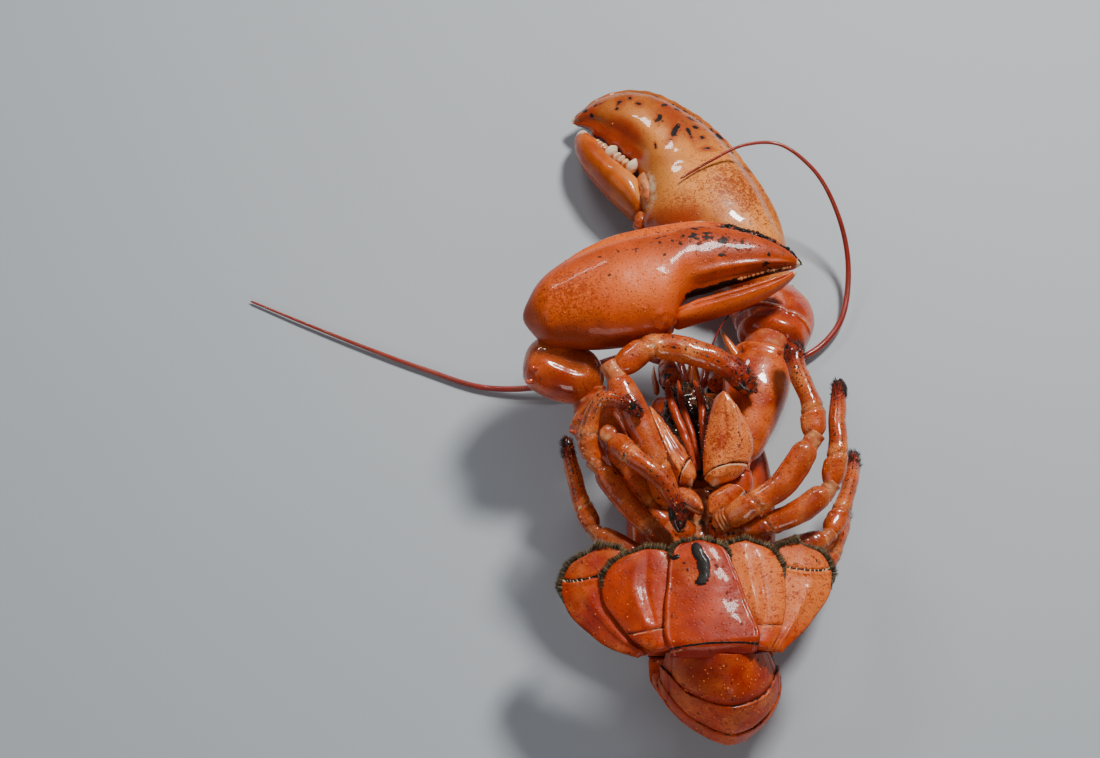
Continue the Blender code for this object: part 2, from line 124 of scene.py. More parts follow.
FEELER_ROUTES = {
    "right": ((-12, 76, 18), (-24, 80, 13), (-42, 77, 8), (-62, 70, 4.5), (-85, 70, 2.2),
              (-112, 79, 1.8), (-138, 89.5, 1.8), (-162, 100, 1.6), (-186, 111, 1.2)),
    "left": ((12, 77, 18), (26, 79, 10), (48, 84, 4), (62, 98, 4), (67, 120, 9), (62, 142, 22),
             (50, 157, 35), (36, 165, 40), (22, 164, 40.5), (8, 157, 39.5), (-5, 149, 38.5)),
}


# --- what a user would change ---------------------------------------------------------------------

def colour_property(name, parts, default):
    """A property for the base colour of some parts."""
    return FloatVectorProperty(
        name=name, description=f"Base colour of {parts}", subtype="COLOR", size=3, min=0.0, max=1.0,
        default=default)


def length_property(name, description, low, high, default, precision=4):
    """A property for a length in metres."""
    return FloatProperty(
        name=name, description=description, unit="LENGTH", precision=precision, min=low, max=high,
        default=default)


class ShellColours(bpy.types.PropertyGroup):
    """Base colours of the boiled shell and of the soft and horny parts."""

    crusher: colour_property("Heavy claw", "the heavy claw's palm", (0.52, 0.130, 0.014))
    crusher_thumb: colour_property("Heavy claw's thumb", "the heavy claw's thumb", (0.66, 0.122, 0.007))
    cutter: colour_property("Slender claw", "the slender claw", (0.64, 0.078, 0.006))
    arm: colour_property("Arms", "the claws' arms", (0.58, 0.058, 0.006))
    leg: colour_property("Legs", "the walking legs, jaw legs and feeler bases", (0.60, 0.075, 0.009))
    tail: colour_property("Back and tail", "the back shield and the tail", (0.58, 0.050, 0.004))
    membrane: colour_property("Soft skin", "the soft skin at the joints", (0.62, 0.15, 0.040))
    tooth: colour_property("Teeth", "the claws' teeth", (0.78, 0.52, 0.28))
    mouth: colour_property("Mouth", "the small mouthparts", (0.16, 0.030, 0.014))
    feeler: colour_property("Feelers", "the long and short feelers", (0.34, 0.022, 0.012))
    bristle: colour_property("Bristles", "the fringe and the hairs", (0.085, 0.052, 0.022))


class ShellSizes(bpy.types.PropertyGroup):
    """Sizes of the finish that lies over the plain solids."""

    leg_fullness: FloatProperty(
        name="Leg fullness", description="Thickness of the walking legs over their plain thickness",
        subtype="FACTOR", min=0.9, max=1.2, default=1.12)
    fringe_short: length_property(
        "Shortest bristle", "Length of the tail fringe at its two ends", 0.0005, 0.004, 0.0012)
    fringe_long: length_property(
        "Longest bristle", "Length of the tail fringe at the middle of a blade", 0.001, 0.006, 0.0035)
    fringe_step: length_property(
        "Bristle spacing", "Mean distance between the fringe's bristles", 0.00001, 0.0005, 0.000024, 6)
    feeler_root: length_property(
        "Feeler at its root", "Radius of a long feeler where it leaves the head", 0.0008, 0.0025, 0.0017)
    feeler_tip: length_property(
        "Feeler at its tip", "Radius of a long feeler at its tip", 0.0002, 0.001, 0.0005)


class StudioSettings(bpy.types.PropertyGroup):
    """The floor, the lights and the camera."""

    floor: FloatVectorProperty(
        name="Floor", description="Colour of the pale floor",
        subtype="COLOR", size=3, min=0.0, max=1.0, default=(0.46, 0.50, 0.54))
    key_power: FloatProperty(
        name="Key light", description="Power of the main light", unit="POWER", min=0.0, default=9.5)
    camera_tilt: FloatProperty(
        name="Camera tilt", description="Angle of the camera's view below the horizon",
        subtype="ANGLE", min=0.1, max=1.5, default=radians(65))
    camera_distance: FloatProperty(
        name="Camera distance", description="Distance from the camera to the middle of the animal",
        unit="LENGTH", min=0.3, max=3.0, default=0.85)


def colours():
    """The colours set in this scene."""
    return bpy.context.scene.lobster_colours


def sizes():
    """The sizes of the finish set in this scene."""
    return bpy.context.scene.lobster_sizes


def studio():
    """The settings of this scene's floor, lights and camera."""
    return bpy.context.scene.lobster_studio


# --- lines, noise and masks -----------------------------------------------------------------------

def curve(keys, t):
    """A smooth line through rows of (parameter, values...): cubic between keys, read at t."""
    keys = np.asarray(keys, float)
    at, values = keys[:, 0], keys[:, 1:]
    slopes = np.gradient(values, at, axis=0)
    i = np.clip(np.searchsorted(at, t, side="right") - 1, 0, len(at) - 2)
    span = (at[i + 1] - at[i])[:, None]
    s = ((t - at[i]) / span[:, 0])[:, None]
    start = (1 + 2 * s) * (1 - s) ** 2 * values[i] + s * (1 - s) ** 2 * span * slopes[i]
    end = s * s * (3 - 2 * s) * values[i + 1] - s * s * (1 - s) * span * slopes[i + 1]
    return start + end


def travelled(points):
    """The distance along a line of points, from 0 at the first."""
    return np.concatenate([[0], np.cumsum(np.linalg.norm(np.diff(points, axis=0), axis=1))])


def spine_through(points, t):
    """A smooth line through the points, with t running from 0 at the first to 1 at the last."""
    points = np.asarray(points, float)
    along = travelled(points)
    return curve(np.column_stack([along / along[-1], points]), t)


def unit(vectors):
    """The vectors' directions, each of length 1."""
    return vectors / np.maximum(np.linalg.norm(vectors, axis=-1, keepdims=True), 1e-9)


def smooth(x, low, high):
    """0 below low, 1 above high, with an S-shaped rise between; low may be above high."""
    s = np.clip((x - low) / (high - low), 0, 1)
    return s * s * (3 - 2 * s)


def hill(x, middle, width):
    """A bell of height 1 round the middle: exp(-((x - middle) / width)^2)."""
    return np.exp(-((x - middle) / width) ** 2)


LATTICE_SIZE = 32
LATTICE = np.random.default_rng(11).random((LATTICE_SIZE,) * 3)


def lumps(points, size, shift=0.0):
    """Value noise from -1 to 1: random numbers on a lattice of that size, blended smoothly between."""
    p = np.asarray(points, float) / size + shift + 100.0
    cell = np.floor(p).astype(int)
    f = p - cell
    f = f * f * (3 - 2 * f)
    total = 0.0
    for corner in range(8):
        step = np.array([corner & 1, corner >> 1 & 1, corner >> 2 & 1])
        weight = np.prod(np.where(step, f, 1 - f), axis=-1)
        i = (cell + step) % LATTICE_SIZE
        total = total + weight * LATTICE[i[..., 0], i[..., 1], i[..., 2]]
    return 2 * total - 1


def rolling(points, size, shift=0.0):
    """Two layers of lumps, the second half as wide and half as strong."""
    return (lumps(points, size, shift) + 0.5 * lumps(points, size / 2, shift + 7.3)) / 1.5


def rounded(t, start, end):
    """1 along the middle of a piece, falling nearly to nothing at each end along a quarter circle."""
    lead = np.clip(t / max(start, 1e-6), 0, 1)
    tail = np.clip((1 - t) / max(end, 1e-6), 0, 1)
    return np.sqrt(np.clip(1 - (1 - np.minimum(lead, tail)) ** 2, 0.0004, 1))


def section(sides, across_power=2.0, up_power=None):
    """The angles round a section and its superellipse's two coordinates.

    Across, the coordinate is sign(c) * |c|^(2 / power), where c is the angle's cosine; up, it is the
    same with the sine and with a power of its own, if one is given.
    """
    angle = np.arange(sides) * 2 * pi / sides
    ca, sa = np.cos(angle), np.sin(angle)
    across = np.sign(ca) * np.abs(ca) ** (2 / across_power)
    return angle, across, np.sign(sa) * np.abs(sa) ** (2 / (up_power or across_power))


def stretched(rows, even):
    """Rows from 0 to 1: an even spacing mixed with one that crowds them at both ends."""
    s = np.linspace(0, 1, rows)
    return even * s + (1 - even) * (1 - np.cos(s * pi)) / 2


# --- surfaces on a grid ---------------------------------------------------------------------------

class Skin:
    """A closed tube of points: rows run along the piece, columns run round it."""

    def __init__(self, points, t, angle):
        """Takes a grid of points, the t of each row and the angle of each column."""
        self.points = np.array(points, float)
        self.t, self.angle = np.meshgrid(t, angle, indexing="ij")
        self.masks = {}

    @property
    def side(self):
        """1 on one side of the piece and -1 on the other."""
        return np.cos(self.angle)

    @property
    def top(self):
        """1 on the upper side and -1 on the lower."""
        return np.sin(self.angle)

    def normals(self):
        """Outward directions: the step round the piece crossed with the step along it."""
        along = np.gradient(self.points, axis=0)
        around = np.roll(self.points, -1, axis=1) - np.roll(self.points, 1, axis=1)
        return unit(np.cross(around, along))

    def lift(self, amount):
        """Moves every point along its normal by so many millimetres."""
        self.points += self.normals() * amount[..., None]
        return self

    def roughen(self, size, height, shift=0.0):
        """Lifts the surface by rolling noise of that size and height."""
        return self.lift(height * rolling(self.points, size, shift))

    def paint(self, **given):
        """Adds to colour masks, keeping the stronger of the old and the new everywhere."""
        for name, mask in given.items():
            mask = np.broadcast_to(np.clip(mask, 0, 1), self.t.shape)
            self.masks[name] = np.maximum(self.masks.get(name, 0), mask)
        return self

    def mottle(self, where=1.0, **rows):
        """Paints noise within where: each row (base, gain, size, shift) gives base + gain * rolling."""
        for name, (base, gain, size, *shift) in rows.items():
            self.paint(**{name: (base + gain * rolling(self.points, size, *shift)) * where})
        return self

    def daub(self, where, *rows):
        """Paints oval hills seen from above, within where: rows of (mask, strength, patch values)."""
        for name, strength, *place in rows:
            self.paint(**{name: strength * patch(self, *place) * where})
        return self

    def rested(self):
        """Keeps the piece on or above the surface that it lies on."""
        self.points[..., 2] = np.maximum(self.points[..., 2], LOWEST_LEVEL)
        return self


def tube(points, widths, heights=None, rows=60, sides=44, ends=(0.06, 0.06), power=2.0, even=0.35,
         scale=1.0):
    """A rounded tube on a spine: at t its section is a superellipse of half width and half height.

    The widths and heights are keys of (t, size), and the heights are the widths if none are given.
    """
    t = stretched(rows, even)
    spine = spine_through(points, t)
    shape = rounded(t, *ends) * scale
    wide, tall = (curve(keys, t)[:, 0] * shape for keys in (widths, heights or widths))
    along = unit(np.gradient(spine, axis=0))
    across = unit(np.cross(along, UP))
    up = np.cross(across, along)
    angle, x, z = section(sides, power)
    rings = (spine[:, None] - across[:, None] * (x * wide[:, None])[..., None]
             + up[:, None] * (z * tall[:, None])[..., None])
    return Skin(rings, t, angle)


def closed_grid(rows, sides):
    """Faces of a grid of rings: its walls, and fans to the two pole points that come after it."""
    corner = np.arange(rows * sides).reshape(rows, sides)
    after = np.roll(corner, -1, axis=1)
    walls = np.stack([corner[:-1], after[:-1], after[1:], corner[1:]], axis=-1).reshape(-1, 4)
    start = np.stack([after[0], corner[0], np.full(sides, rows * sides)], axis=-1)
    end = np.stack([corner[-1], after[-1], np.full(sides, rows * sides + 1)], axis=-1)
    return [walls, start, end]


class Bundle:
    """Points, faces and masks gathered from skins and small shapes, and made into one mesh."""

    def __init__(self):
        """Starts with nothing gathered."""
        self.points, self.masks, self.faces, self.count = [], {name: [] for name in MASKS}, [], 0

    def add(self, points, faces, masks):
        """Adds points and a list of face tables; each table has one row of corners per face."""
        for name in MASKS:
            given = np.asarray(masks.get(name, 0.0), float)
            self.masks[name].append(np.broadcast_to(given, len(points)))
        self.points.append(points)
        for table in faces:
            self.faces.append(np.asarray(table) + self.count)
        self.count += len(points)
        return self

    def skin(self, skin):
        """Adds a skin with a pole point closing each of its ends."""
        points = np.vstack([skin.points.reshape(-1, 3), skin.points[0].mean(0), skin.points[-1].mean(0)])
        masks = {name: np.concatenate([m.ravel(), [m[0].mean(), m[-1].mean()]])
                 for name, m in skin.masks.items()}
        return self.add(points, closed_grid(*skin.points.shape[:2]), masks)

    def copies(self, points, faces, masks):
        """Adds many small shapes of the same faces; points has one row of places for each shape."""
        count, size = points.shape[:2]
        shift = (np.arange(count) * size)[:, None, None]
        tables = [(table[None] + shift).reshape(-1, table.shape[1]) for table in faces]
        spread = {k: np.repeat(np.broadcast_to(v, count), size) for k, v in (masks or {}).items()}
        return self.add(points.reshape(-1, 3), tables, spread)

    def beads(self, centres, radii, along, masks, rows=7, sides=10):
        """Adds many ellipsoids at once: a unit ball stretched by radii and turned to the along line."""
        centres, radii = np.asarray(centres, float), np.asarray(radii, float)
        if radii.ndim == 1:
            radii = np.repeat(radii[:, None], 3, axis=1)
        ahead = unit(np.broadcast_to(along, centres.shape).astype(float))
        spare = np.where(np.abs(ahead[:, :1]) < 0.8, np.array([[1.0, 0, 0]]), np.array([[0, 1.0, 0]]))
        aside = unit(np.cross(ahead, spare))
        third = np.cross(ahead, aside)
        polar = np.linspace(0, pi, rows)[1:-1]
        _, x, y = section(sides)
        ring = np.stack([np.outer(np.sin(polar), x), np.outer(np.sin(polar), y),
                         np.repeat(-np.cos(polar)[:, None], sides, axis=1)], axis=-1).reshape(-1, 3)
        ball = np.vstack([ring, [[0, 0, -1]], [[0, 0, 1]]])
        axes = np.stack([aside, third, ahead], axis=1)
        points = centres[:, None] + np.einsum("bk,nkc,nk->nbc", ball, axes, radii)
        return self.copies(points, closed_grid(len(polar), sides), masks)

    def studs(self, skin, t, turn, sink, radii, masks, rows, sides, lean=0.0, out=1.0):
        """Adds beads that stand on a skin at each t and turn (in half turns), leaning that way."""
        foot, ahead = on_skin(skin, t, np.asarray(turn) * pi, sink)
        return self.beads(foot, radii, unit(out * ahead + lean), masks, rows, sides)

    def hairs(self, roots, directions, lengths, thickness, droop, masks):
        """Adds many tapered three-sided hairs: root, a bent middle ring and a tip point.

        A hair's bend grows with the square of the way along it; its direction is noise at the root.
        """
        roots, ahead = np.asarray(roots, float), unit(np.asarray(directions, float))
        lengths = np.broadcast_to(np.asarray(lengths, float), len(roots))[:, None]
        spare = np.where(np.abs(ahead[:, 2:]) < 0.8, UP[None], np.array([[1.0, 0, 0]]))
        aside = unit(np.cross(ahead, spare))
        third = np.cross(ahead, aside)
        apart = np.array([[0, 0, 0], [31, 0, 0], [0, 47, 0]])
        bend = unit(lumps(roots[:, None] + apart, 1.7)) * lengths * droop
        rings = []
        for part, width in ((0.0, 1.0), (0.55, 0.75)):
            for k in range(3):
                turn = k * 2 * pi / 3
                rings.append(roots + ahead * lengths * part + bend * part ** 2
                             + (aside * cos(turn) + third * sin(turn)) * thickness * width)
        tip = roots + ahead * lengths + bend
        points = np.stack(rings + [tip], axis=1)
        walls = np.array([[0, 1, 4, 3], [1, 2, 5, 4], [2, 0, 3, 5]])
        caps = np.array([[3, 4, 6], [4, 5, 6], [5, 3, 6], [2, 1, 0]])
        return self.copies(points, [walls, caps], masks)

    def make(self, name, slot, material, *replaced):
        """Makes the object, with its place in its mesh, ties it to the frame and hides the CAD nodes that
        it replaces.
        """
        if not self.faces:
            raise RuntimeError(f"{name} has no faces")
        mesh = bpy.data.meshes.new(name)
        points = np.vstack(self.points) * MM
        corners = np.concatenate([table.ravel() for table in self.faces])
        totals = np.concatenate([np.full(len(table), table.shape[1]) for table in self.faces])
        mesh.vertices.add(len(points))
        mesh.vertices.foreach_set("co", points.ravel())
        mesh.loops.add(len(corners))
        mesh.loops.foreach_set("vertex_index", corners.astype(np.int32))
        mesh.polygons.add(len(totals))
        mesh.polygons.foreach_set("loop_start", (np.cumsum(totals) - totals).astype(np.int32))
        mesh.polygons.foreach_set("use_smooth", np.ones(len(totals), bool))
        for mask in MASKS:
            values = np.concatenate(self.masks[mask])
            if values.any():
                layer = mesh.attributes.new(mask, "FLOAT", "POINT")
                layer.data.foreach_set("value", values.astype(np.float32))
        mesh.update(calc_edges=True)
        mesh.validate()
        mesh.materials.append(shell_material(material))
        piece = bpy.data.objects.new(name, mesh)
        bpy.context.scene.collection.objects.link(piece)
        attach(piece, "root")
        if replaced:
            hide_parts(*replaced)
        return piece


def on_skin(skin, t, angle, sink):
    """Points and outward directions on a skin at each t and angle, from the nearest grid points.

    The points are sunk below the surface by so many millimetres.
    """
    row = np.abs(skin.t[:, 0][None] - np.asarray(t, float)[:, None]).argmin(axis=1)
    step = skin.angle[0, 1] - skin.angle[0, 0]
    column = np.round(np.broadcast_to(angle, row.shape) / step).astype(int) % skin.points.shape[1]
    ahead = skin.normals()[row, column]
    return skin.points[row, column] - ahead * sink, ahead


def droplets(piece, skin, count, first, last, seed, span=(0.15, 0.85)):
    """Adds low round drops of water at seeded places on the upper side of a skin; their paler colour is a
    painted glint.
    """
    rng = np.random.default_rng(seed)
    foot, ahead = on_skin(skin, rng.uniform(first, last, count), rng.uniform(*span, count) * pi, 0.02)
    size = rng.uniform(0.16, 0.42, count) * rng.uniform(0.6, 1.3, count)
    # The drops are painted pale, a painted glint on the water.
    piece.beads(foot, np.stack([size, size, 0.7 * size], axis=1), ahead, {"light": 0.75}, 5, 8)
    return piece


# --- materials ------------------------------------------------------------------------------------

class Nodes:
    """Small helpers that add nodes to a tree and link them by socket."""

    def __init__(self, tree):
        """Takes the node tree to work on."""
        self.tree = tree

    def add(self, kind, values=None, **settings):
        """A new node; a value that is another node's socket is linked, any other is set."""
        node = self.tree.nodes.new(kind)
        for key, value in settings.items():
            setattr(node, key, value)
        for socket, value in (values or {}).items():
            if isinstance(value, bpy.types.NodeSocket):
                self.tree.links.new(value, node.inputs[socket])
            else:
                node.inputs[socket].default_value = value
        return node

    def plus(self, a, b):
        """The sum of two values."""
        return self.add("ShaderNodeMath", {0: a, 1: b}, operation="ADD").outputs[0]

    def minus(self, a, b):
        """The first value less the second."""
        return self.add("ShaderNodeMath", {0: a, 1: b}, operation="SUBTRACT").outputs[0]

    def times(self, a, b):
        """The product of two values."""
        return self.add("ShaderNodeMath", {0: a, 1: b}, operation="MULTIPLY").outputs[0]

    def rise(self, value, low, high, out_low=0.0, out_high=1.0):
        """A smooth step of the value from low to high."""
        return self.add("ShaderNodeMapRange", {0: value, 1: low, 2: high, 3: out_low, 4: out_high},
                        interpolation_type="SMOOTHSTEP").outputs[0]

    def mix(self, factor, a, b):
        """The first colour turning into the second as the factor rises from 0 to 1."""
        return self.add("ShaderNodeMix", {0: factor, 6: a, 7: b}, data_type="RGBA").outputs[2]

    def noise(self, scale, detail, distortion, vector):
        """Blender's noise texture at a place."""
        values = {"Scale": scale, "Detail": detail, "Distortion": distortion, "Vector": vector}
        return self.add("ShaderNodeTexNoise", values).outputs["Fac"]

    def mask(self, name):
        """One of the colour masks stored on the mesh's points."""
        return self.add("ShaderNodeAttribute", attribute_name=name).outputs["Fac"]


def effect(name, inputs, outputs, fill):
    """A shared node group: named number or colour sockets, filled in once by the fill function."""
    found = bpy.data.node_groups.get(name)
    if found:
        return found
    group = bpy.data.node_groups.new(name, "ShaderNodeTree")
    for label, kind, default in inputs:
        socket = group.interface.new_socket(label, in_out="INPUT", socket_type=kind)
        socket.default_value = default
    for label, kind in outputs:
        group.interface.new_socket(label, in_out="OUTPUT", socket_type=kind)
    nodes = Nodes(group)
    given = nodes.add("NodeGroupInput")
    result = nodes.add("NodeGroupOutput")
    for label, socket in fill(nodes, given.outputs).items():
        group.links.new(socket, result.inputs[label])
    return group


PATTERNS = ("Worms", "Cloud", "Blots", "Freckles", "Pits", "Grain", "Drops")


def shell_pattern():
    """Boiled shell: worm-like mottling, blots, fine dots, pits, and clinging droplets."""
    def fill(n, given):
        """Links the textures; each one's grain grows with the scale that is given."""
        place = n.add("ShaderNodeTexCoord").outputs["Object"]
        size = given["Scale"]
        worms = n.noise(n.times(size, 620.0), 3.0, 1.4, place)
        cloud = n.noise(n.times(size, 95.0), 3.0, 0.3, place)
        blots = n.noise(n.times(size, 330.0), 4.0, 0.6, place)
        dots = n.add("ShaderNodeTexVoronoi", {"Vector": place, "Scale": n.times(size, 1050.0)})
        red = n.add("ShaderNodeSeparateColor", {0: dots.outputs["Color"]}).outputs[0]
        chosen = n.rise(red, 0.45, 0.75)
        freckles = n.times(n.rise(dots.outputs["Distance"], 0.40, 0.12), chosen)
        cells = n.add("ShaderNodeTexVoronoi", {"Vector": place, "Scale": n.times(size, 560.0)})
        pits = n.rise(cells.outputs["Distance"], 0.05, 0.30)
        grain = n.noise(n.times(size, 1500.0), 2.0, 0.0, place)
        wet = n.add("ShaderNodeTexVoronoi", feature="SMOOTH_F1", values={
            "Vector": place, "Scale": n.times(size, 430.0), "Smoothness": 0.3})
        drops = n.times(n.rise(wet.outputs["Distance"], 0.30, 0.10), n.rise(cloud, 0.52, 0.62))
        return dict(zip(PATTERNS, (worms, cloud, blots, freckles, pits, grain, drops)))
    return effect("shell_pattern", [("Scale", "NodeSocketFloat", 1.0)],
                  [(label, "NodeSocketFloat") for label in PATTERNS], fill)


def painted_layer():
    """A paint over a base: the mask is broken up by a pattern before it picks the paint."""
    def fill(n, given):
        """Links the mask, moved by the pattern, to a step whose ends the softness sets apart."""
        spread = n.times(n.minus(given["Pattern"], 0.5), given["Break"])
        edge = n.rise(n.plus(given["Mask"], spread), 0.5, 0.5)
        low = n.minus(0.5, given["Soft"])
        high = n.plus(0.5, given["Soft"])
        n.tree.links.new(low, edge.node.inputs[1])
        n.tree.links.new(high, edge.node.inputs[2])
        shown = n.times(edge, n.rise(given["Mask"], 0.02, 0.10))
        return {"Color": n.mix(shown, given["Base"], given["Paint"]), "Shown": shown}
    return effect("painted_layer", [
        ("Base", "NodeSocketColor", (0.5, 0.1, 0.02, 1)), ("Paint", "NodeSocketColor", (0.7, 0.4, 0.2, 1)),
        ("Mask", "NodeSocketFloat", 0.0), ("Pattern", "NodeSocketFloat", 0.5),
        ("Break", "NodeSocketFloat", 1.0), ("Soft", "NodeSocketFloat", 0.2),
    ], [("Color", "NodeSocketColor"), ("Shown", "NodeSocketFloat")], fill)


# Black of the crust; the same black also paints shade in the slender claw's slit and at the tail rings'
# tucked-in fronts.
CRUST_AND_SHADE_BLACK = (0.010, 0.006, 0.004)


def shell_material(name):
    """The named material of the table below, made once."""
    return bpy.data.materials.get(name) or new_shell(name, *MATERIALS[name][:3], **MATERIALS[name][3])


def new_shell(name, base, light, deep, pale=(0.78, 0.56, 0.34), scale=1.0, freckle=0.5, roughness=0.30,
              bump=0.35, coat=0.75):
    """Glossy boiled shell: pale, deep and worm-mottled areas, black crust and painted black shade, and pale
    edges.
    """
    if isinstance(base, str):
        base = getattr(colours(), base)
    made = bpy.data.materials.new(name)
    made.use_nodes = True
    n = Nodes(made.node_tree)
    shader = made.node_tree.nodes["Principled BSDF"]
    pattern = n.add("ShaderNodeGroup", node_tree=shell_pattern())
    pattern.inputs["Scale"].default_value = scale
    out = pattern.outputs

    def layer(under, paint, mask, texture, broken, soft):
        """Adds a paint over the colour so far; gives the new colour and where the paint shows."""
        sockets = {"Base": under, "Mask": n.mask(mask), "Pattern": out[texture]}
        group = n.add("ShaderNodeGroup", node_tree=painted_layer())
        for socket, value in sockets.items():
            n.tree.links.new(value, group.inputs[socket])
        group.inputs["Paint"].default_value = (*paint, 1)
        group.inputs["Break"].default_value = broken
        group.inputs["Soft"].default_value = soft
        return group.outputs["Color"], group.outputs["Shown"]

    darker = tuple(0.66 * c for c in base)
    darkest = tuple(0.30 * c for c in deep)
    mottle = tuple(0.30 * b + 0.60 * d for b, d in zip(base, deep))
    colour = n.mix(n.rise(out["Cloud"], 0.35, 0.65), (*base, 1), (*darker, 1))
    for row in ((light, "light", "Cloud", 0.6, 0.5), (deep, "deep", "Cloud", 0.9, 0.4),
                (mottle, "worms", "Worms", 2.4, 0.34)):
        colour, _ = layer(colour, *row)
    colour = n.mix(n.times(out["Freckles"], freckle), colour, (*darkest, 1))
    colour, _ = layer(colour, pale, "pale", "Grain", 0.5, 0.25)
    # The black layer is crust and painted shade; where it shows, the surface is also rougher and bumped.
    colour, crust_and_shade = layer(colour, CRUST_AND_SHADE_BLACK, "black", "Blots", 1.5, 0.15)
    rough = n.plus(n.rise(out["Grain"], 0.3, 0.7, roughness - 0.05, roughness + 0.12), n.times(crust_and_shade, 0.10))
    height = n.times(out["Pits"], 0.5)
    for bumps, share in ((out["Grain"], 0.25), (out["Drops"], 1.1), (crust_and_shade, 1.2)):
        height = n.plus(height, n.times(bumps, share))
    relief = n.add("ShaderNodeBump", {"Height": height, "Strength": bump, "Distance": 0.0005})
    n.tree.links.new(colour, shader.inputs["Base Color"])
    n.tree.links.new(rough, shader.inputs["Roughness"])
    n.tree.links.new(relief.outputs["Normal"], shader.inputs["Normal"])
    shader.inputs["Coat Weight"].default_value = coat
    shader.inputs["Coat Roughness"].default_value = 0.06
    shader.inputs["Specular IOR Level"].default_value = 0.22
    return made


# Base colour (the name of a property, or a colour), pale and deep colours, and what else differs.
MATERIALS = {
    "crusher_shell": ("crusher", (0.96, 0.33, 0.060), (0.38, 0.040, 0.004), {"freckle": 0.6}),
    "thumb_shell": ("crusher_thumb", (0.80, 0.27, 0.045), (0.48, 0.045, 0.005),
                    {"pale": (0.78, 0.66, 0.50), "freckle": 0.3, "coat": 0.4}),
    "cutter_shell": ("cutter", (0.86, 0.145, 0.014), (0.37, 0.040, 0.003),
                     {"freckle": 0.9, "roughness": 0.37, "coat": 0.16}),
    "arm_shell": ("arm", (0.84, 0.19, 0.034), (0.34, 0.022, 0.002), {}),
    "leg_shell": ("leg", (0.90, 0.25, 0.055), (0.30, 0.018, 0.002), {"scale": 1.35, "freckle": 0.85}),
    "tail_shell": ("tail", (0.86, 0.20, 0.038), (0.34, 0.012, 0.002),
                   {"freckle": 0.6, "roughness": 0.39, "coat": 0.12}),
    "membrane": ("membrane", (0.82, 0.38, 0.16), (0.46, 0.055, 0.010),
                 {"freckle": 0.15, "roughness": 0.38, "bump": 0.6, "coat": 0.5}),
    "tooth": ("tooth", (0.84, 0.68, 0.48), (0.58, 0.17, 0.05),
              {"freckle": 0.1, "roughness": 0.25, "bump": 0.2, "coat": 0.6}),
    "mouth_shell": ("mouth", (0.42, 0.10, 0.04), (0.05, 0.012, 0.006),
                    {"scale": 1.6, "freckle": 0.7, "roughness": 0.32, "bump": 0.7}),
    "mouth_leaf_shell": ((0.30, 0.018, 0.004), (0.50, 0.055, 0.012), (0.12, 0.008, 0.003),
                         {"scale": 1.5, "freckle": 0.8, "coat": 0.25}),
    "feeler_shell": ("feeler", (0.62, 0.12, 0.06), (0.16, 0.008, 0.005), {"scale": 1.5, "freckle": 0.3}),
    "eye_shell": ((0.010, 0.007, 0.006), (0.05, 0.02, 0.015), (0.004, 0.003, 0.003),
                  {"scale": 2.0, "freckle": 0.0, "roughness": 0.12, "bump": 0.12, "coat": 0.9}),
    "bristle": ("bristle", (0.46, 0.33, 0.17), (0.02, 0.012, 0.008),
                {"scale": 2.2, "freckle": 0.2, "roughness": 0.34, "bump": 0.2, "coat": 0.3}),
}


# --- shapes and places that several pieces share --------------------------------------------------

def between(stations, rows, sides, ends, power):
    """A body between two edge lines.  Each station gives both edges, the level and half height.

    At t the section is a superellipse whose wide axis runs from the first edge to the second; the
    angle is 0 at the first edge, a quarter turn at the top and half a turn at the second edge.
    """
    keys = np.asarray(stations, float)
    along = travelled((keys[:, :2] + keys[:, 2:4]) / 2)
    t = stretched(rows, 0.5)
    x0, y0, x1, y1, level, tall = curve(np.column_stack([along / along[-1], keys]), t).T[..., None]
    shape = rounded(t, *ends)[:, None]
    angle, across, up = section(sides, power)
    x, y = ((a + b) / 2 + across * shape * (a - b) / 2 for a, b in ((x0, x1), (y0, y1)))
    return Skin(np.stack([x, y, level + up * shape * tall], axis=-1), t, angle)


def patch(skin, x, y, long, wide, turn=0.0):
    """An oval hill round a place seen from above, turned by so many degrees from the X axis."""
    dx, dy = skin.points[..., 0] - x, skin.points[..., 1] - y
    c, s = cos(radians(turn)), sin(radians(turn))
    return np.exp(-((c * dx + s * dy) / long) ** 2 - ((c * dy - s * dx) / wide) ** 2)


def edge(skin, turn, width):
    """A line along the piece at an angle given in half turns."""
    return hill((skin.angle / pi - turn + 1) % 2 - 1, 0.0, width)


# --- claws ----------------------------------------------------------------------------------------

# Along each claw part: x and y of its two edges, its level, and half its height.
CRUSHER_STATIONS = (
    (16.5, 105, 38, 104, 15, 9), (3, 113, 41, 114, 17, 14), (-10, 122, 40.5, 127, 18.5, 18.5),
    (-18, 135, 37.5, 139, 19, 19.3), (-19.6, 147, 31.8, 152.4, 19, 18.6),
    (-20.4, 155, 26, 163, 19, 17.5), (-21.6, 163.5, 18, 175.3, 18.5, 15.5),
    (-23.8, 169.5, 9, 185.8, 17.8, 13.8), (-27.4, 174.6, -1.8, 195.4, 17, 12.3),
    (-31.3, 179.5, -11, 201.8, 16, 11), (-36, 184, -20.6, 205.2, 14.6, 9.6),
    (-40.2, 188.2, -29.5, 205.8, 13.2, 8), (-44, 191.2, -38, 203.6, 11.5, 6),
    (-47, 193, -44.5, 199, 10, 4), (-49.3, 194, -48.8, 195.4, 9, 2),
)
CRUSHER_THUMB_STATIONS = (
    (-21, 141, -16.5, 148, 15, 7), (-25.5, 144.5, -18.5, 153, 15.5, 9),
    (-31.1, 150.2, -20.8, 159.5, 16, 10), (-37.2, 157.2, -26.5, 165.5, 16, 9.8),
    (-42, 164.1, -31.6, 171, 15, 9), (-46, 171.3, -36, 177.4, 14, 7.8),
    (-48.2, 178.6, -39.8, 183.6, 12.5, 6), (-48.2, 185.3, -42.6, 188, 10.5, 4.2),
    (-46.2, 190, -44.6, 190.3, 9, 2.2),
)
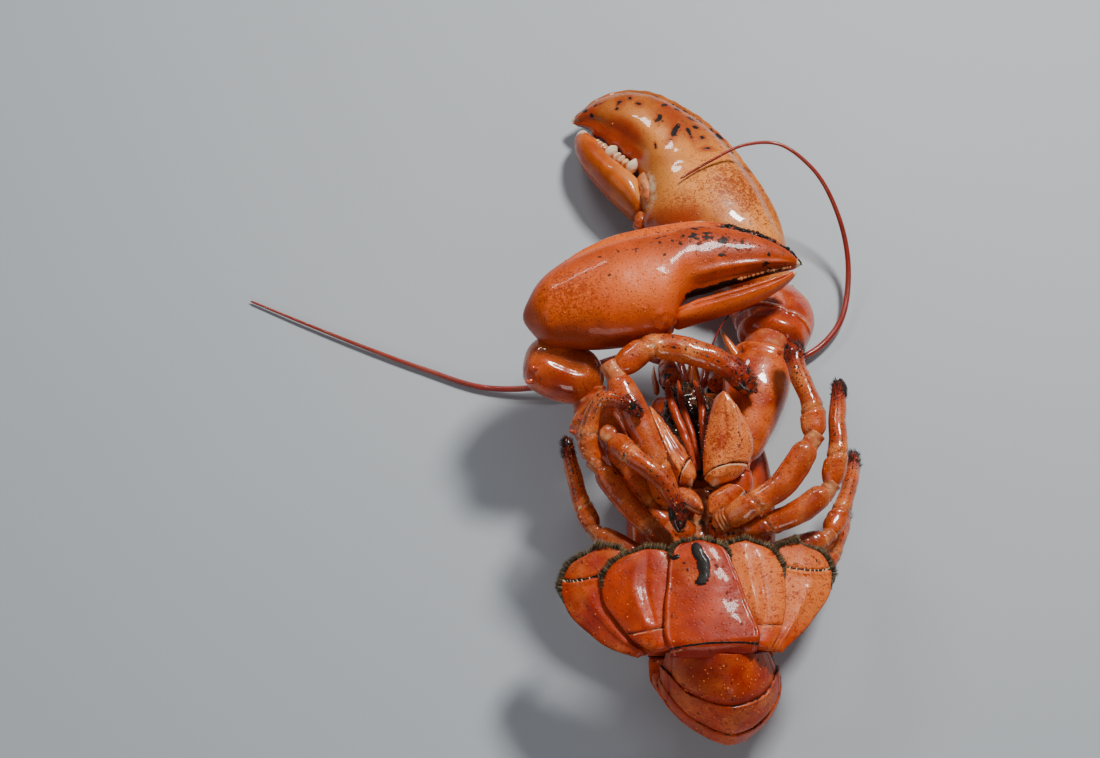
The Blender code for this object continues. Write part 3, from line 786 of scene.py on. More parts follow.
CUTTER_STATIONS = (
    (-71, 79, -68, 67, 60, 9), (-63.9, 87.2, -62, 62.5, 61, 11.5), (-52.4, 97, -53, 60.4, 62, 13),
    (-37.2, 105.5, -38, 59.2, 63, 14), (-21.9, 110.2, -23, 61.4, 63, 13.5),
    (-12.5, 111.9, -14, 64.2, 63, 12.6), (-8.5, 112.3, -10.6, 70.5, 63, 12),
    (-4.5, 112.6, -7.2, 78.6, 63, 11.3), (4.8, 112.9, 3, 83.9, 62.8, 10.2),
    (16.3, 110.8, 15, 88.3, 62.4, 8.6), (27.8, 106.0, 27, 92.1, 62, 6.8),
    (35.4, 101.6, 35, 94.2, 61.5, 4.8), (40.6, 97.4, 40, 95.3, 61, 2.4),
)
CUTTER_THUMB_STATIONS = (
    (-11, 76.0, -11.5, 68.3, 60, 6.2), (-4, 79.2, -3, 71.3, 60, 6.8), (8.7, 83.6, 9.5, 75.3, 60, 6.2),
    (20, 87.4, 21, 80.0, 60.3, 5.2), (30, 90.6, 31.6, 86.0, 60.6, 3.8), (38, 93.4, 38.6, 92.2, 61, 2.0),
)

# Black streaks on each palm, seen from above: x, y, half length, half width, turn in degrees.
CRUSHER_STREAKS = (
    (-12.5, 183.6, 2.6, 1.2, 63), (-5.6, 176.6, 4.6, 1.5, 66), (-0.4, 175.6, 4.8, 0.8, 106),
    (-28.8, 196.0, 1.4, 1.4, 0), (-38.4, 197.6, 1.6, 0.9, 20), (-20.9, 193.0, 1.4, 0.9, -30),
    (-30.0, 192.4, 1.0, 0.8, 0), (-9.8, 192.0, 1.8, 1.5, 60), (-24.5, 197.4, 1.2, 0.8, 90),
    (13.2, 177.0, 2.2, 0.8, -50), (6.9, 166.0, 2.0, 0.7, 10), (2.9, 178.2, 1.2, 1.0, 0),
    (5.3, 172.4, 1.0, 0.7, 30), (-43.5, 196.5, 1.3, 1.0, 0), (-41.0, 193.0, 1.0, 0.9, 0),
    (1.5, 184.0, 1.6, 0.9, -40), (-14.5, 170.2, 1.3, 0.4, 100), (-4.5, 189.5, 1.5, 0.7, -30),
)
CUTTER_STREAKS = (
    (-16, 101, 1.0, 3.0, 0), (8.5, 94.8, 2.4, 0.9, -8), (25, 93.8, 3.0, 0.9, -12), (14, 99.5, 1.3, 0.9, 0),
    (-8, 99, 1.2, 1.4, 0), (27, 97.5, 1.6, 1.0, -15), (-14.5, 93, 0.9, 1.3, 0), (34, 95.4, 1.6, 0.8, 0),
    (-30, 93.5, 0.8, 0.8, 0), (-45, 85, 0.8, 0.8, 0), (-36, 83.5, 0.9, 0.6, 0),
)

# The bumps along the heavy claw's tooth ridge: t, half length as a part of t, height.
CRUSHER_TEETH = (
    (0.07, 0.052, 2.9), (0.19, 0.022, 1.0), (0.260, 0.026, 1.2), (0.345, 0.030, 1.3), (0.475, 0.056, 2.7),
    (0.600, 0.020, 0.7), (0.66, 0.024, 0.9), (0.75, 0.022, 0.8), (0.84, 0.020, 0.6),
)


def crusher_palm():
    """The heavy claw's palm and fixed finger, with a raised outer rim and a mottled palm."""
    skin = between(CRUSHER_STATIONS, 210, 160, ends=(0.05, 0.03), power=2.12)
    t, side, top = skin.t, skin.side, skin.top
    above, upper = smooth(top, -0.35, 0.15), smooth(top, 0.0, 0.3)
    skin.roughen(18, 0.6).roughen(5, 0.13, 3.0)
    rim = edge(skin, 0.865, 0.024)
    skin.lift(0.7 * rim * smooth(t, 0.12, 0.3) - 0.8 * edge(skin, 0.80, 0.040) * smooth(t, 0.12, 0.3))
    skin.lift(0.8 * edge(skin, 0.05, 0.05) * smooth(t, 0.5, 0.6))
    skin.lift(-1.0 * edge(skin, 0.20, 0.09) * smooth(t, 0.52, 0.62) * smooth(t, 0.97, 0.9))
    scallop = 1.7 * hill(t, 0.600, 0.020) + 2.6 * hill(t, 0.675, 0.028) + 2.8 * hill(t, 0.775, 0.034)
    scallop += 1.8 * hill(t, 0.870, 0.022)
    skin.lift(scallop * edge(skin, 1.94, 0.12))
    knob = patch(skin, -20.0, 137.5, 3.4, 3.0) + 0.7 * patch(skin, -19.5, 131.5, 2.8, 2.2)
    skin.lift(knob * (2.0 + 0.8 * lumps(skin.points, 1.6, 2.0)))
    wave = 0.5 + 0.5 * np.sin(52 * pi * t + 3 * np.sin(11 * t))
    skin.lift(0.30 * wave * rim * smooth(t, 0.45, 0.6))
    skin.daub(above, ("light", 0.95, 4, 150, 27, 20, 60), ("light", 0.85, -12, 174, 26, 8, 128),
              ("light", 1.0, 27, 124, 13, 26, 20), ("light", 0.8, 20, 140, 14, 26, 0))
    skin.paint(light=0.35 * smooth(top, 0.0, -0.6))
    skin.daub(above, ("deep", 0.95, -26, 181, 14, 5.5, 135))
    # Painted shade: the fixed finger's inner side, facing the thumb across the gape, is painted deep.
    skin.paint(deep=0.95 * smooth(side, 0.72, 0.95) * smooth(t, 0.52, 0.58))
    skin.paint(deep=0.8 * patch(skin, -42, 195, 6, 5, 150))
    skin.paint(deep=0.85 * patch(skin, -8, 131, 20, 10, -12)
               + 0.6 * smooth(skin.points[..., 1], 128, 112) * smooth(side, -0.3, 0.3))
    skin.daub(above, ("deep", 0.66, -5, 181, 20, 8.5, -50), ("light", 0.80, -1, 166, 17, 9, -50))
    skin.paint(worms=0.68 * patch(skin, 20, 146, 20, 16, -45) * above
               + 0.30 * smooth(t, 0.42, 0.60) * hill(side, -0.6, 0.35))
    skin.daub(above, ("worms", 0.45, -4, 140, 14, 8, 0))
    ragged = 1.0 + 0.7 * rolling(skin.points, 0.9, 2.0)
    for x, y, long, wide, turn in CRUSHER_STREAKS:
        skin.paint(black=ragged * patch(skin, x, y, 1.1 * long, 1.0 * wide, turn) * upper)
        skin.daub(upper, ("black", 0.38, x, y, 2.4 * long, 2.8 * wide, turn),
                  ("deep", 0.75, x, y, 2.6 * long, 3.0 * wide, turn))
    skin.mottle(hill(side, -0.72, 0.2) * smooth(t, 0.5, 0.66) * above, black=(0.30, 0.5, 2.4, 5.0))
    skin.mottle(edge(skin, 0.810, 0.030) * smooth(t, 0.38, 0.48), black=(0.42, 0.75, 1.2, 9.0))
    skin.mottle(edge(skin, 0.865, 0.020) * smooth(t, 0.2, 0.4), pale=(0.40, 0.5, 4, 7.0))
    skin.mottle(patch(skin, -17.5, 150, 11, 4.0, 96) * above, pale=(0.55, 0.6, 2.5, 2.0))
    skin.mottle(patch(skin, -17.5, 150, 12, 4.5, 96) * above, black=(0.16, 0.62, 1.1, 4.0))
    skin.paint(deep=0.9 * smooth(knob, 0.15, 0.5))
    skin.paint(pale=0.75 * edge(skin, 1.895, 0.016) * smooth(scallop, 0.5, 1.2))
    skin.paint(pale=smooth(t, 0.985, 1.0))
    return skin.rested()


def crusher_thumb():
    """The heavy claw's thumb: plain orange-red with a pale tip."""
    skin = between(CRUSHER_THUMB_STATIONS, 120, 96, ends=(0.10, 0.06), power=2.1)
    t, side = skin.t, skin.side
    skin.roughen(9, 0.3, 1.0).roughen(3, 0.08, 2.0)
    skin.lift(-0.5 * edge(skin, 0.82, 0.06) * smooth(t, 0.1, 0.25) * smooth(t, 0.98, 0.9))
    skin.paint(deep=0.5 * smooth(t, 0.1, 0.4) * smooth(side, 0.3, 0.9))
    skin.mottle(deep=(0.10, 0.4, 8, 4.0))
    skin.paint(light=0.98 * smooth(t, 0.62, 0.15) * smooth(side, 0.55, -0.5))
    skin.mottle(smooth(t, 0.20, 0.06) * smooth(side, 0.6, 0.0), pale=(0.30, 0.5, 3, 1.0))
    skin.paint(pale=smooth(t - 0.03 * side, 0.86, 0.95) * 0.9)
    return skin.rested()


def crusher_claw():
    """The heavy claw: palm with a lump at the thumb's root, thumb, tooth ridge and hinge skin."""
    palm = crusher_palm()
    lump = tube(((-19.5, 144, 17), (-20.5, 139.5, 18.5), (-20.0, 134, 16)),
                ((0, 2.4), (0.5, 3.4), (1, 2.4)), ((0, 2.4), (0.5, 3.6), (1, 2.4)), 70, 48, ends=(0.3, 0.3))
    lump.roughen(2.6, 0.9, 1.0).roughen(1.1, 0.25, 3.0)
    lump.mottle(deep=(0.70, 0.3, 2.0, 2.0))
    lump.paint(light=0.5 * smooth(lumps(lump.points, 1.6), 0.2, 0.8))
    piece = droplets(Bundle().skin(palm), palm, 26, 0.1, 0.9, 12).skin(lump)
    piece.make("crusher_palm_shell", "claw_orange", "crusher_shell", "crusher_palm")
    thumb = Bundle().skin(crusher_thumb())
    thumb.make("crusher_thumb_shell", "claw_orange", "thumb_shell", "crusher_thumb")

    ridge = tube(((-22.6, 163.6, 20.2), (-27.2, 167.4, 19.6), (-31.5, 171.6, 18.4), (-36.2, 177.4, 15.8),
                  (-41.0, 185.0, 12.4)),
                 ((0, 1.5), (0.6, 1.4), (1, 0.6)), ((0, 2.2), (0.6, 2.0), (1, 0.8)),
                 220, 44, ends=(0.05, 0.08), even=1.0)
    bumps = np.max([tall * hill(ridge.t, at, long) for at, long, tall in CRUSHER_TEETH], axis=0)
    ridge.lift(bumps * smooth(ridge.top, -0.7, 0.5) * 0.95).roughen(1.5, 0.32, 2.0)
    ridge.paint(light=0.9 * smooth(bumps, 0.6, 1.4))
    ridge.paint(deep=0.75 * smooth(bumps, 0.8, 0.15)
                + 0.4 * rolling(ridge.points, 1.6, 5.0) * smooth(bumps, 1.8, 0.6))
    Bundle().skin(ridge).make("crusher_teeth", "tooth_cream", "tooth")

    hinge = tube(((-17, 144, 15), (-18.0, 150, 16.5), (-19.0, 157, 16), (-18.5, 163, 13)),
                 ((0, 3), (0.5, 4.0), (1, 2.5)), ((0, 8), (0.4, 11.5), (1, 6)), 70, 48, ends=(0.2, 0.2))
    hinge.roughen(4, 0.8, 2.0).roughen(1.6, 0.25, 4.0)
    hinge.mottle(light=(0.45, 0.5, 5, 1.0), black=(0.12, 0.55, 1.0, 6.0), deep=(0.3, 0.6, 3.0, 2.0))
    Bundle().skin(hinge).make("crusher_hinge_membrane", "membrane_cream", "membrane")


def cutter_palm():
    """The slender claw's palm and fixed finger, with a spiny dark rim towards its tip."""
    skin = between(CUTTER_STATIONS, 210, 150, ends=(0.09, 0.03), power=2.12)
    t, side, top = skin.t, skin.side, skin.top
    x = skin.points[..., 0].copy()
    above = smooth(top, -0.35, 0.15)
    skin.roughen(16, 0.5, 2.0).roughen(4.5, 0.12, 4.0)
    rim = edge(skin, 0.145, 0.026)
    skin.lift(0.65 * rim * smooth(t, 0.1, 0.3) - 0.7 * edge(skin, 0.215, 0.040) * smooth(t, 0.1, 0.3))
    ridge = smooth(x, -8, 2) * smooth(x, 38, 30)
    skin.lift(0.9 * edge(skin, 0.72, 0.045) * ridge - 1.2 * edge(skin, 0.84, 0.06) * ridge)
    crusty = smooth(x, 0, 14) * edge(skin, 0.195, 0.085)
    skin.lift(crusty * (0.30 + 0.55 * lumps(skin.points, 1.3)))
    knob = patch(skin, -15.0, 66.5, 3.8, 3.0) + 0.7 * patch(skin, -10.8, 69.5, 2.2, 2.0)
    skin.lift(knob * (1.3 + 0.9 * lumps(skin.points, 1.5, 6.0)))
    skin.daub(above, ("light", 0.95, -24, 82, 21, 12, 12), ("light", 0.8, -50, 78, 18, 12, 15))
    skin.paint(light=0.85 * edge(skin, 0.20, 0.07) * smooth(t, 0.08, 0.2) * smooth(x, 12, -4))
    skin.paint(deep=0.70 * smooth(x, -60, -70))
    skin.paint(deep=0.85 * smooth(side, -0.50, -0.92) * smooth(x, -6, -16))
    skin.daub(above, ("deep", 0.85, 12, 99, 26, 8, -10))
    # Painted shade along the fixed finger's edge at the slit to the thumb.
    skin.paint(deep=0.90 * smooth(side, -0.80, -0.97) * smooth(x, -8, -2))
    skin.daub(above, ("worms", 0.66, -52, 77, 17, 13, 10), ("worms", 0.48, -30, 66, 24, 6, 0),
              ("worms", 0.36, -5, 104, 32, 7, -3))
    speck = 0.42 + 0.60 * rolling(skin.points, 1.1, 3.0)
    skin.paint(black=speck * patch(skin, 2, 102, 30, 8, -4) * above)
    skin.paint(black=0.7 * speck * patch(skin, -30, 95, 22, 6, 25) * above)
    skin.mottle(crusty, black=(0.75, 0.5, 1.6, 8.0))
    ragged, upper = 0.75 + 0.8 * rolling(skin.points, 0.9, 2.0), smooth(top, 0.0, 0.3)
    for streak in CUTTER_STREAKS:
        skin.paint(black=ragged * patch(skin, *streak) * upper)
    # Painted shade: black along the slit between the fixed finger and the thumb.
    skin.paint(black=0.95 * smooth(side, -0.93, -0.99) * smooth(x, -8, -4) * smooth(x, 38, 34))
    worn = edge(skin, 0.145, 0.022) * smooth(t, 0.1, 0.25) * smooth(x, 12, 4)
    skin.mottle(worn, pale=(0.40, 0.5, 4, 7.0))
    skin.paint(deep=0.9 * smooth(knob, 0.15, 0.5), pale=smooth(t, 0.975, 0.995))
    return skin


def cutter_thumb():
    """The slender claw's thumb, with a lengthwise groove along it."""
    skin = between(CUTTER_THUMB_STATIONS, 130, 84, ends=(0.07, 0.05), power=2.1)
    t, x = skin.t, skin.points[..., 0].copy()
    skin.roughen(7, 0.22, 5.0).roughen(2.5, 0.07, 2.0)
    skin.lift(-0.75 * edge(skin, 0.47, 0.05) * smooth(t, 0.08, 0.2) * smooth(t, 0.98, 0.85))
    skin.lift(0.35 * edge(skin, 0.33, 0.06) * smooth(t, 0.08, 0.2))
    # The groove is painted deep, and the edge at the slit to the fixed finger gets painted shade.
    skin.paint(deep=0.65 * edge(skin, 0.46, 0.05) + 0.5 * smooth(skin.side, 0.55, 0.95))
    skin.paint(light=0.5 * edge(skin, 0.75, 0.15) + 0.5 * smooth(x, 6, -6))
    # Painted shade: black along the slit to the fixed finger, short of the tip.
    skin.paint(black=0.9 * smooth(skin.side, 0.90, 0.985) * smooth(t, 0.96, 0.88))
    skin.paint(pale=smooth(t, 0.95, 0.99))
    return skin


def cutter_claw():
    """The slender claw: palm with a dark beaded rim, thumb, and a row of teeth on each finger."""
    palm, thumb = cutter_palm(), cutter_thumb()
    piece = droplets(Bundle().skin(palm), palm, 30, 0.05, 0.9, 13)
    rim = np.linspace(0.74, 0.975, 34)
    wobble = 0.03 * np.sin(rim * 97)
    size = 0.50 + 0.45 * np.abs(np.sin(rim * 211))
    piece.studs(palm, rim, 0.16 + wobble, 0.3, size, {"black": 0.70}, 7, 9)
    piece.make("cutter_palm_shell", "claw_orange", "cutter_shell", "cutter_palm")

    Bundle().skin(thumb).make("cutter_thumb_shell", "claw_orange", "cutter_shell", "cutter_thumb")

    teeth = Bundle()
    order = np.arange(26)
    for skin, turn, first in ((palm, 0.94, 0.78), (thumb, 0.07, 0.42)):
        at = np.linspace(first, 0.96, len(order))
        size = 0.38 + 0.34 * np.abs(np.sin(at * 61)) + 0.30 * (order % 5 == 2)
        tints = {"deep": 0.62 + 0.35 * (order % 3 == 0)}
        teeth.studs(skin, at, turn, 0.1, np.outer(size, (0.8, 0.8, 1.0)), tints, 7, 9)
    teeth.make("cutter_teeth", "tooth_cream", "tooth")


# --- body and tail --------------------------------------------------------------------------------

def belly_height(y):
    """The height of the belly side of the back shield along its middle."""
    rows = [(row[0], row[4]) for row in CARAPACE_STATIONS]
    return curve(rows, np.atleast_1d(np.asarray(y, float)))[:, 0]


def upright(y, x, half, low, wide, high, sides, power):
    """Upright rings across the body at each y: superellipses round the middle x.

    Below its widest level a ring reaches down to low, and above that level it reaches up to high.
    """
    angle, across, up = section(sides, power)
    depth = np.where(up[None] < 0, (wide - low)[:, None], (high - wide)[:, None])
    level = wide[:, None] + up[None] * depth
    aside = x[:, None] - across[None] * half[:, None]
    points = np.stack([aside, np.broadcast_to(y[:, None], aside.shape), level], axis=-1)
    return Skin(points, (y - y[0]) / (y[-1] - y[0]), angle)


def drawn_in(low, wide, high, ends):
    """Lowest, widest and highest levels, with the outer two drawn in towards the widest at the ends."""
    return wide - (wide - low) * ends, wide, wide + (high - wide) * ends


def body_shell():
    """The back shield: round back below, belly side above, side rims and the head's spike."""
    y = np.concatenate([np.linspace(BODY_REAR, HEAD_FRONT, 130),
                        np.linspace(HEAD_FRONT + 0.5, SPIKE_TIP, 40)])
    half, low, wide, high = curve(CARAPACE_STATIONS, y).T
    ends = rounded((y - BODY_REAR) / (SPIKE_TIP - BODY_REAR), 0.03, 0.01)
    skin = upright(y, 0 * y, half * ends, *drawn_in(low, wide, high, ends), 132, 2.25)
    side, top = np.abs(skin.side), skin.top
    skin.roughen(14, 0.4, 1.0).roughen(4, 0.12, 2.0)
    rim = edge(skin, 0.14, 0.02) + edge(skin, 0.86, 0.02)
    skin.lift(0.8 * rim)
    neck = hill(skin.points[..., 1], 18 - 14 * side, 2.2) * smooth(top, 0.1, -0.3)
    skin.lift(-1.1 * neck - 0.5 * edge(skin, 1.5, 0.008) * smooth(top, 0.0, -0.5))
    skin.paint(light=0.8 * smooth(top, 0.62, 0.9) + 0.35 * smooth(top, -0.2, -0.9))
    skin.paint(deep=0.5 * smooth(top, 0.5, -0.6) + 0.5 * neck, worms=0.42 * smooth(top, 0.2, -0.3))
    skin.paint(black=0.34 * smooth(top, -0.3, -0.9) * (0.6 + rolling(skin.points, 5, 3.0)), pale=0.6 * rim)
    return skin.rested()


def body():
    """The back shield, with six spines along each side of the head."""
    skin = body_shell()
    piece = Bundle().skin(skin)
    for turn in (1.12, 1.88):
        piece.studs(skin, np.linspace(0.84, 0.96, 6), turn, 0.3, [[0.7, 0.7, 1.6]] * 6,
                    {"deep": 0.4, "pale": 0.2}, 7, 9, [0, 0.9, 0])
    piece.make("carapace_shell", "shell_red", "tail_shell", "carapace")


def sternum():
    """The ridged plates between the legs: a wave along y with a groove down the middle."""
    y = np.linspace(BODY_REAR + 4, 8.0, 110)
    low, high = belly_height(y) - 1.5, 47.2
    ends = rounded(np.linspace(0, 1, len(y)), 0.05, 0.1)
    widths = np.linspace(9.5, 6.0, len(y)) * ends
    skin = upright(y, 0 * y, widths, *drawn_in(low, (low + high) / 2, high, ends), 72, 3.0)
    plates = np.abs(np.sin((skin.points[..., 1] + 34) * pi / 9.0))
    skin.lift(0.9 * plates ** 0.5 * smooth(skin.top, 0.0, 0.5) - 0.4 - 0.8 * edge(skin, 0.5, 0.012))
    skin.roughen(3.5, 0.5, 3.0)
    skin.paint(deep=0.5 * hill(plates, 0.9, 0.25) * smooth(np.abs(skin.side), 0.2, 0.6))
    skin.paint(light=0.6 * hill(plates, 0.0, 0.5))
    return skin.paint(black=0.30 + 0.4 * rolling(skin.points, 3.0, 4.0) - 0.2 * plates)


def underside():
    """Between the legs: the sternum with soft skin on both sides, and the skin at the tail's root."""
    piece = Bundle().skin(sternum())
    for x in (-1, 1):
        y = np.linspace(-34, 46, 110)
        t = np.linspace(0, 1, len(y))
        inner = belly_height(y)
        width = 7.5 * rounded(t, 0.05, 0.12)
        field = upright(y, x * (11.5 - 2.0 * t), width, inner - 3, inner, inner + 2.6, 48, 2.4)
        field.roughen(5, 1.3, 2.0 + x).roughen(2, 0.4, 5.0)
        field.mottle(light=(0.5, 0.6, 4, 1.0), deep=(0.0, 0.45, 6, 8.0), black=(0.34, 0.5, 2.6, 6.0))
        piece.skin(field)
    piece.make("sternum_membrane", "membrane_cream", "membrane", "sternum")

    y = np.linspace(BODY_REAR - 7, BODY_REAR + 5, 40)
    ends = rounded(np.linspace(0, 1, len(y)), 0.08, 0.08)
    joint = upright(y, 0 * y, 20.6 * ends, *drawn_in(3.5, 0 * y + 19, 35.5, ends), 96, 2.1)
    joint.lift(0.25 * np.sin(joint.t * 14 * pi))
    joint.mottle(light=(0.3, 0.5, 5, 2.0))
    joint.paint(deep=0.9 * smooth(joint.top, 0.3, -0.2))
    Bundle().skin(joint).make("tail_joint_skin", "membrane_cream", "membrane")


def yawed(points):
    """The tail turned a little about an upright line at the body; the turn is full from 10 mm on."""
    turned = np.array(points)
    y = turned[..., 1] - BODY_REAR
    turned[..., 0] += -np.sin(TAIL_YAW) * y * np.clip(-y / 10.0, 0, 1)
    return turned


def tail_section(sides):
    """Angles and half reaches of a tail section at unit size: a pointed arch with square lower edges."""
    angle, arch_across, arch_up = section(sides, 1.62)
    _, square_across, square_up = section(sides, 3.0)
    above = np.sin(angle) > 0
    return angle, np.where(above, arch_across, square_across), np.where(above, arch_up, square_up)


def tail_grid(turns, steps, halves, lobe, sides):
    """Rings of the tail at angles round the curl's centre: barrel outward, lobes towards the hollow.

    The turns and the steps outward have a row for each ring, and a column for each side or just
    one; the half widths and the lobes' sizes have one value for each ring.
    """
    angle, across, up = tail_section(sides)
    turn = np.radians(turns)
    radius = CURL_RADIUS + steps
    widest = 0.33 * radius
    inner = (widest - CURL_HOLLOW) * lobe[:, None]
    reach = widest + up * np.where(up > 0, radius - widest, inner)
    x = across * (halves[:, None] + 0.6 * steps)
    y = CURL_CENTRE_Y + np.cos(turn) * reach
    z = CURL_CENTRE_Z + np.sin(turn) * reach
    return np.stack([x, y, z], axis=-1), angle


def ring_skin(number):
    """One ring of the tail: a low front tucked under the ring before, a rear rim, and side flaps.

    The rear edge runs further round the curl at the sides, so each ring's flap overlaps the next.
    """
    start, stop = TAIL_JOINTS[number - 2:number]
    wide_start, wide_stop = TAIL_HALF_WIDTHS[number - 2:number]
    rows, sides = 96, 168
    q = 1 - np.linspace(0, 1, rows)
    angle = np.arange(sides) * 2 * pi / sides
    flank = smooth(np.abs(np.cos(angle)), 0.70, 1.0) * smooth(np.sin(angle), -0.9, -0.1)
    over = 1.0 if number < 6 else 0.2
    last = stop - over - SIDE_FLAPS[number] * flank
    first = start + 1.0
    turns = first + (last - first) * q[:, None]
    steps = curve(((0, -1.3), (0.08, -0.7), (0.20, -0.1), (0.6, 0.15), (1, 0.25)), q)
    rim = np.clip((q - 0.975) / 0.025, 0, 1)[:, None]
    steps -= 1.1 * (1 - np.sqrt(np.clip(1 - rim ** 2, 0, 1)))
    steps = steps + 0.35 * flank * smooth(q, 0.3, 0.9)[:, None]
    halves = wide_start + (wide_stop - wide_start) * q
    lobe = 1 - 0.5 * np.abs(2 * q - 1) ** 2.2
    points, angle = tail_grid(turns, steps, halves, lobe, sides)
    return Skin(yawed(points), 1 - q, angle)


def first_ring_skin():
    """The ring next to the body: rings at its rear, its middle and its front, joined smoothly."""
    sides, rows = 150, 60
    angle, across, up = tail_section(sides)
    level = np.where(up > 0, 17 - 15.5 * up, 17 - 21 * up)
    front = np.stack([across * 22, np.full(sides, BODY_REAR - 0.3), level], axis=-1)

    def cut(turn, step, half):
        """A single ring of the tail, that many degrees from the first joint."""
        place = np.full((1, 1), TAIL_JOINTS[0] + turn)
        return tail_grid(place, np.full((1, 1), step), np.full(1, half), np.ones(1), sides)[0][0]

    middle = cut(16, -0.6, 24)
    middle[:, 1] = np.minimum(middle[:, 1], BODY_REAR - 2.8)
    rear = cut(0.5, 0.0, TAIL_HALF_WIDTHS[0])
    t = np.linspace(0, 1, rows)
    keys = [np.concatenate([[at], ring.ravel()]) for at, ring in ((0, rear), (0.5, middle), (1, front))]
    return Skin(yawed(curve(keys, t).reshape(rows, sides, 3)), t, angle)


def paint_ring(skin, number):
    """A ring's noise, its lengthwise side grooves and its colours, with painted shade over its tucked-in
    front and in the grooves and painted highlights beside them; q runs from its front to its rear.
    """
    q = 1 - skin.t
    skin.roughen(9, 0.30, number).roughen(3, 0.08, number + 3.0)
    line = edge(skin, 0.12, 0.008) + edge(skin, 0.88, 0.008)
    skin.lift(-0.40 * line * smooth(q, 0.1, 0.25) * smooth(q, 1.0, 0.92))
    # Painted shade: black where the front lies under the ring before, and darker in the side grooves.
    skin.paint(black=0.9 * smooth(q, 0.07, 0.03), deep=0.8 * line * smooth(q, 0.2, 0.4))
    skin.mottle(black=(0.12, 0.45, 1.2, 2.0 + number))
    skin.paint(black=0.75 * smooth(q, 0.988, 1.0))
    # Painted shade over the front third, which lies under the ring before; a band of deep colour before the
    # rim, and a little all over.
    skin.paint(deep=0.55 * smooth(q, 0.30, 0.1) + 0.25 * hill(q, 0.93, 0.03) + 0.1)
    skin.mottle(deep=(0.30, 0.55, 9, 1.0 + number))
    # Paler in rolling patches, but less so over the front, where the painted shade lies.
    skin.paint(light=0.32 + 0.6 * rolling(skin.points, 7, 4.0 + number) - 0.3 * smooth(q, 0.4, 0.1))
    # Painted highlight: paler bands just outside the side grooves.
    skin.paint(light=0.45 * (edge(skin, 0.07, 0.025) + edge(skin, 0.93, 0.025)))
    skin.mottle(worms=(0.22, 0.30, 6, 2.0 + number))
    skin.paint(pale=0.45 * hill(q, 0.978, 0.006) * smooth(lumps(skin.points, 3.0), -0.2, 0.6))
    return skin.rested()


def tail_rings():
    """The six rings of the tail; drops of water cling to all but the first."""
    for number in range(1, 7):
        skin = paint_ring(first_ring_skin() if number == 1 else ring_skin(number), number)
        piece = Bundle().skin(skin)
        if number > 1:
            droplets(piece, skin, 90, 0.1, 0.9, number, (0.2, 0.8))
        piece.make(f"tail_ring_{number}_shell", "shell_red", "tail_shell", f"tail_ring_{number}")


# Each blade: its left and its right edge seen from above, its levels at base and tip, its thickness.
FAN = {
    "telson": (
        ((-15, -65), (-17.4, -58), (-17.2, -50), (-16.0, -38), (-14.6, -28), (-11.5, -22.5), (-5, -20.0)),
        ((16, -63), (17.4, -57), (15.2, -50), (12.6, -42), (9.4, -32), (5.6, -24.0), (-2, -20.3)),
        65.5, 62.0, 3.4),
    "fan_right_inner": (
        ((-21, -63), (-28, -59), (-34.5, -51), (-39.6, -42), (-39.4, -34), (-34, -26.6), (-26, -22.8)),
        ((-13, -61), (-13.5, -54), (-13.0, -46), (-12.5, -38), (-12.5, -30), (-15, -24.5), (-22, -22.6)),
        61.0, 59.0, 3.0),
    "fan_right_outer": (
        ((-27, -64), (-37, -60), (-45, -53), (-52, -45), (-55, -36), (-52.5, -27), (-45, -20.5)),
        ((-19, -60), (-22, -54), (-25, -46), (-27, -38), (-29.0, -30), (-32, -23), (-38, -19.6)),
        58.0, 54.0, 3.0),
    "fan_left_inner": (
        ((13, -61), (11.5, -54), (8.8, -46), (6.2, -38), (4.2, -30), (6, -23), (12, -19.5)),
        ((21, -62), (25.2, -55), (27.5, -47), (28.2, -38), (27.6, -30), (23.5, -23), (17, -19.6)),
        61.0, 59.5, 3.0),
    "fan_left_outer": (
        ((18, -61), (19.5, -54), (20.0, -46), (20.5, -38), (22.5, -30), (26, -22.5), (31.5, -18.2)),
        ((26, -62), (33, -54.5), (40, -46), (45.4, -37), (46.4, -29), (43.5, -22), (37.0, -18.0)),
        58.0, 55.0, 3.0),
}


def plate(left, right, levels, thick, crown, rows, sides, ends, powers, pinches):
    """A thin plate between two edge lines; its middle is crowned and its rims are rounded.

    Each pinch (end, from t, to t, share) draws both edges towards their middle at that end.
    """
    t = np.linspace(0, 1, rows)
    first, second = (spine_through(line, t) for line in (left, right))
    for end, low, high, share in pinches:
        meet = (first[end] + second[end]) / 2
        near = share * smooth(t, low, high)[:, None]
        first, second = first + (meet - first[end]) * near, second + (meet - second[end]) * near
    angle, across, up = section(sides, *powers)
    flat = rounded(t, *ends)[:, None]
    x, y = (((a + b) / 2 + across * (a - b) / 2) for a, b in zip(first.T[..., None], second.T[..., None]))
    z = curve(levels, t) + up * flat * thick / 2 + crown * (1 - across ** 2) * flat
    return Skin(np.stack([x, y, z], axis=-1), t, angle)


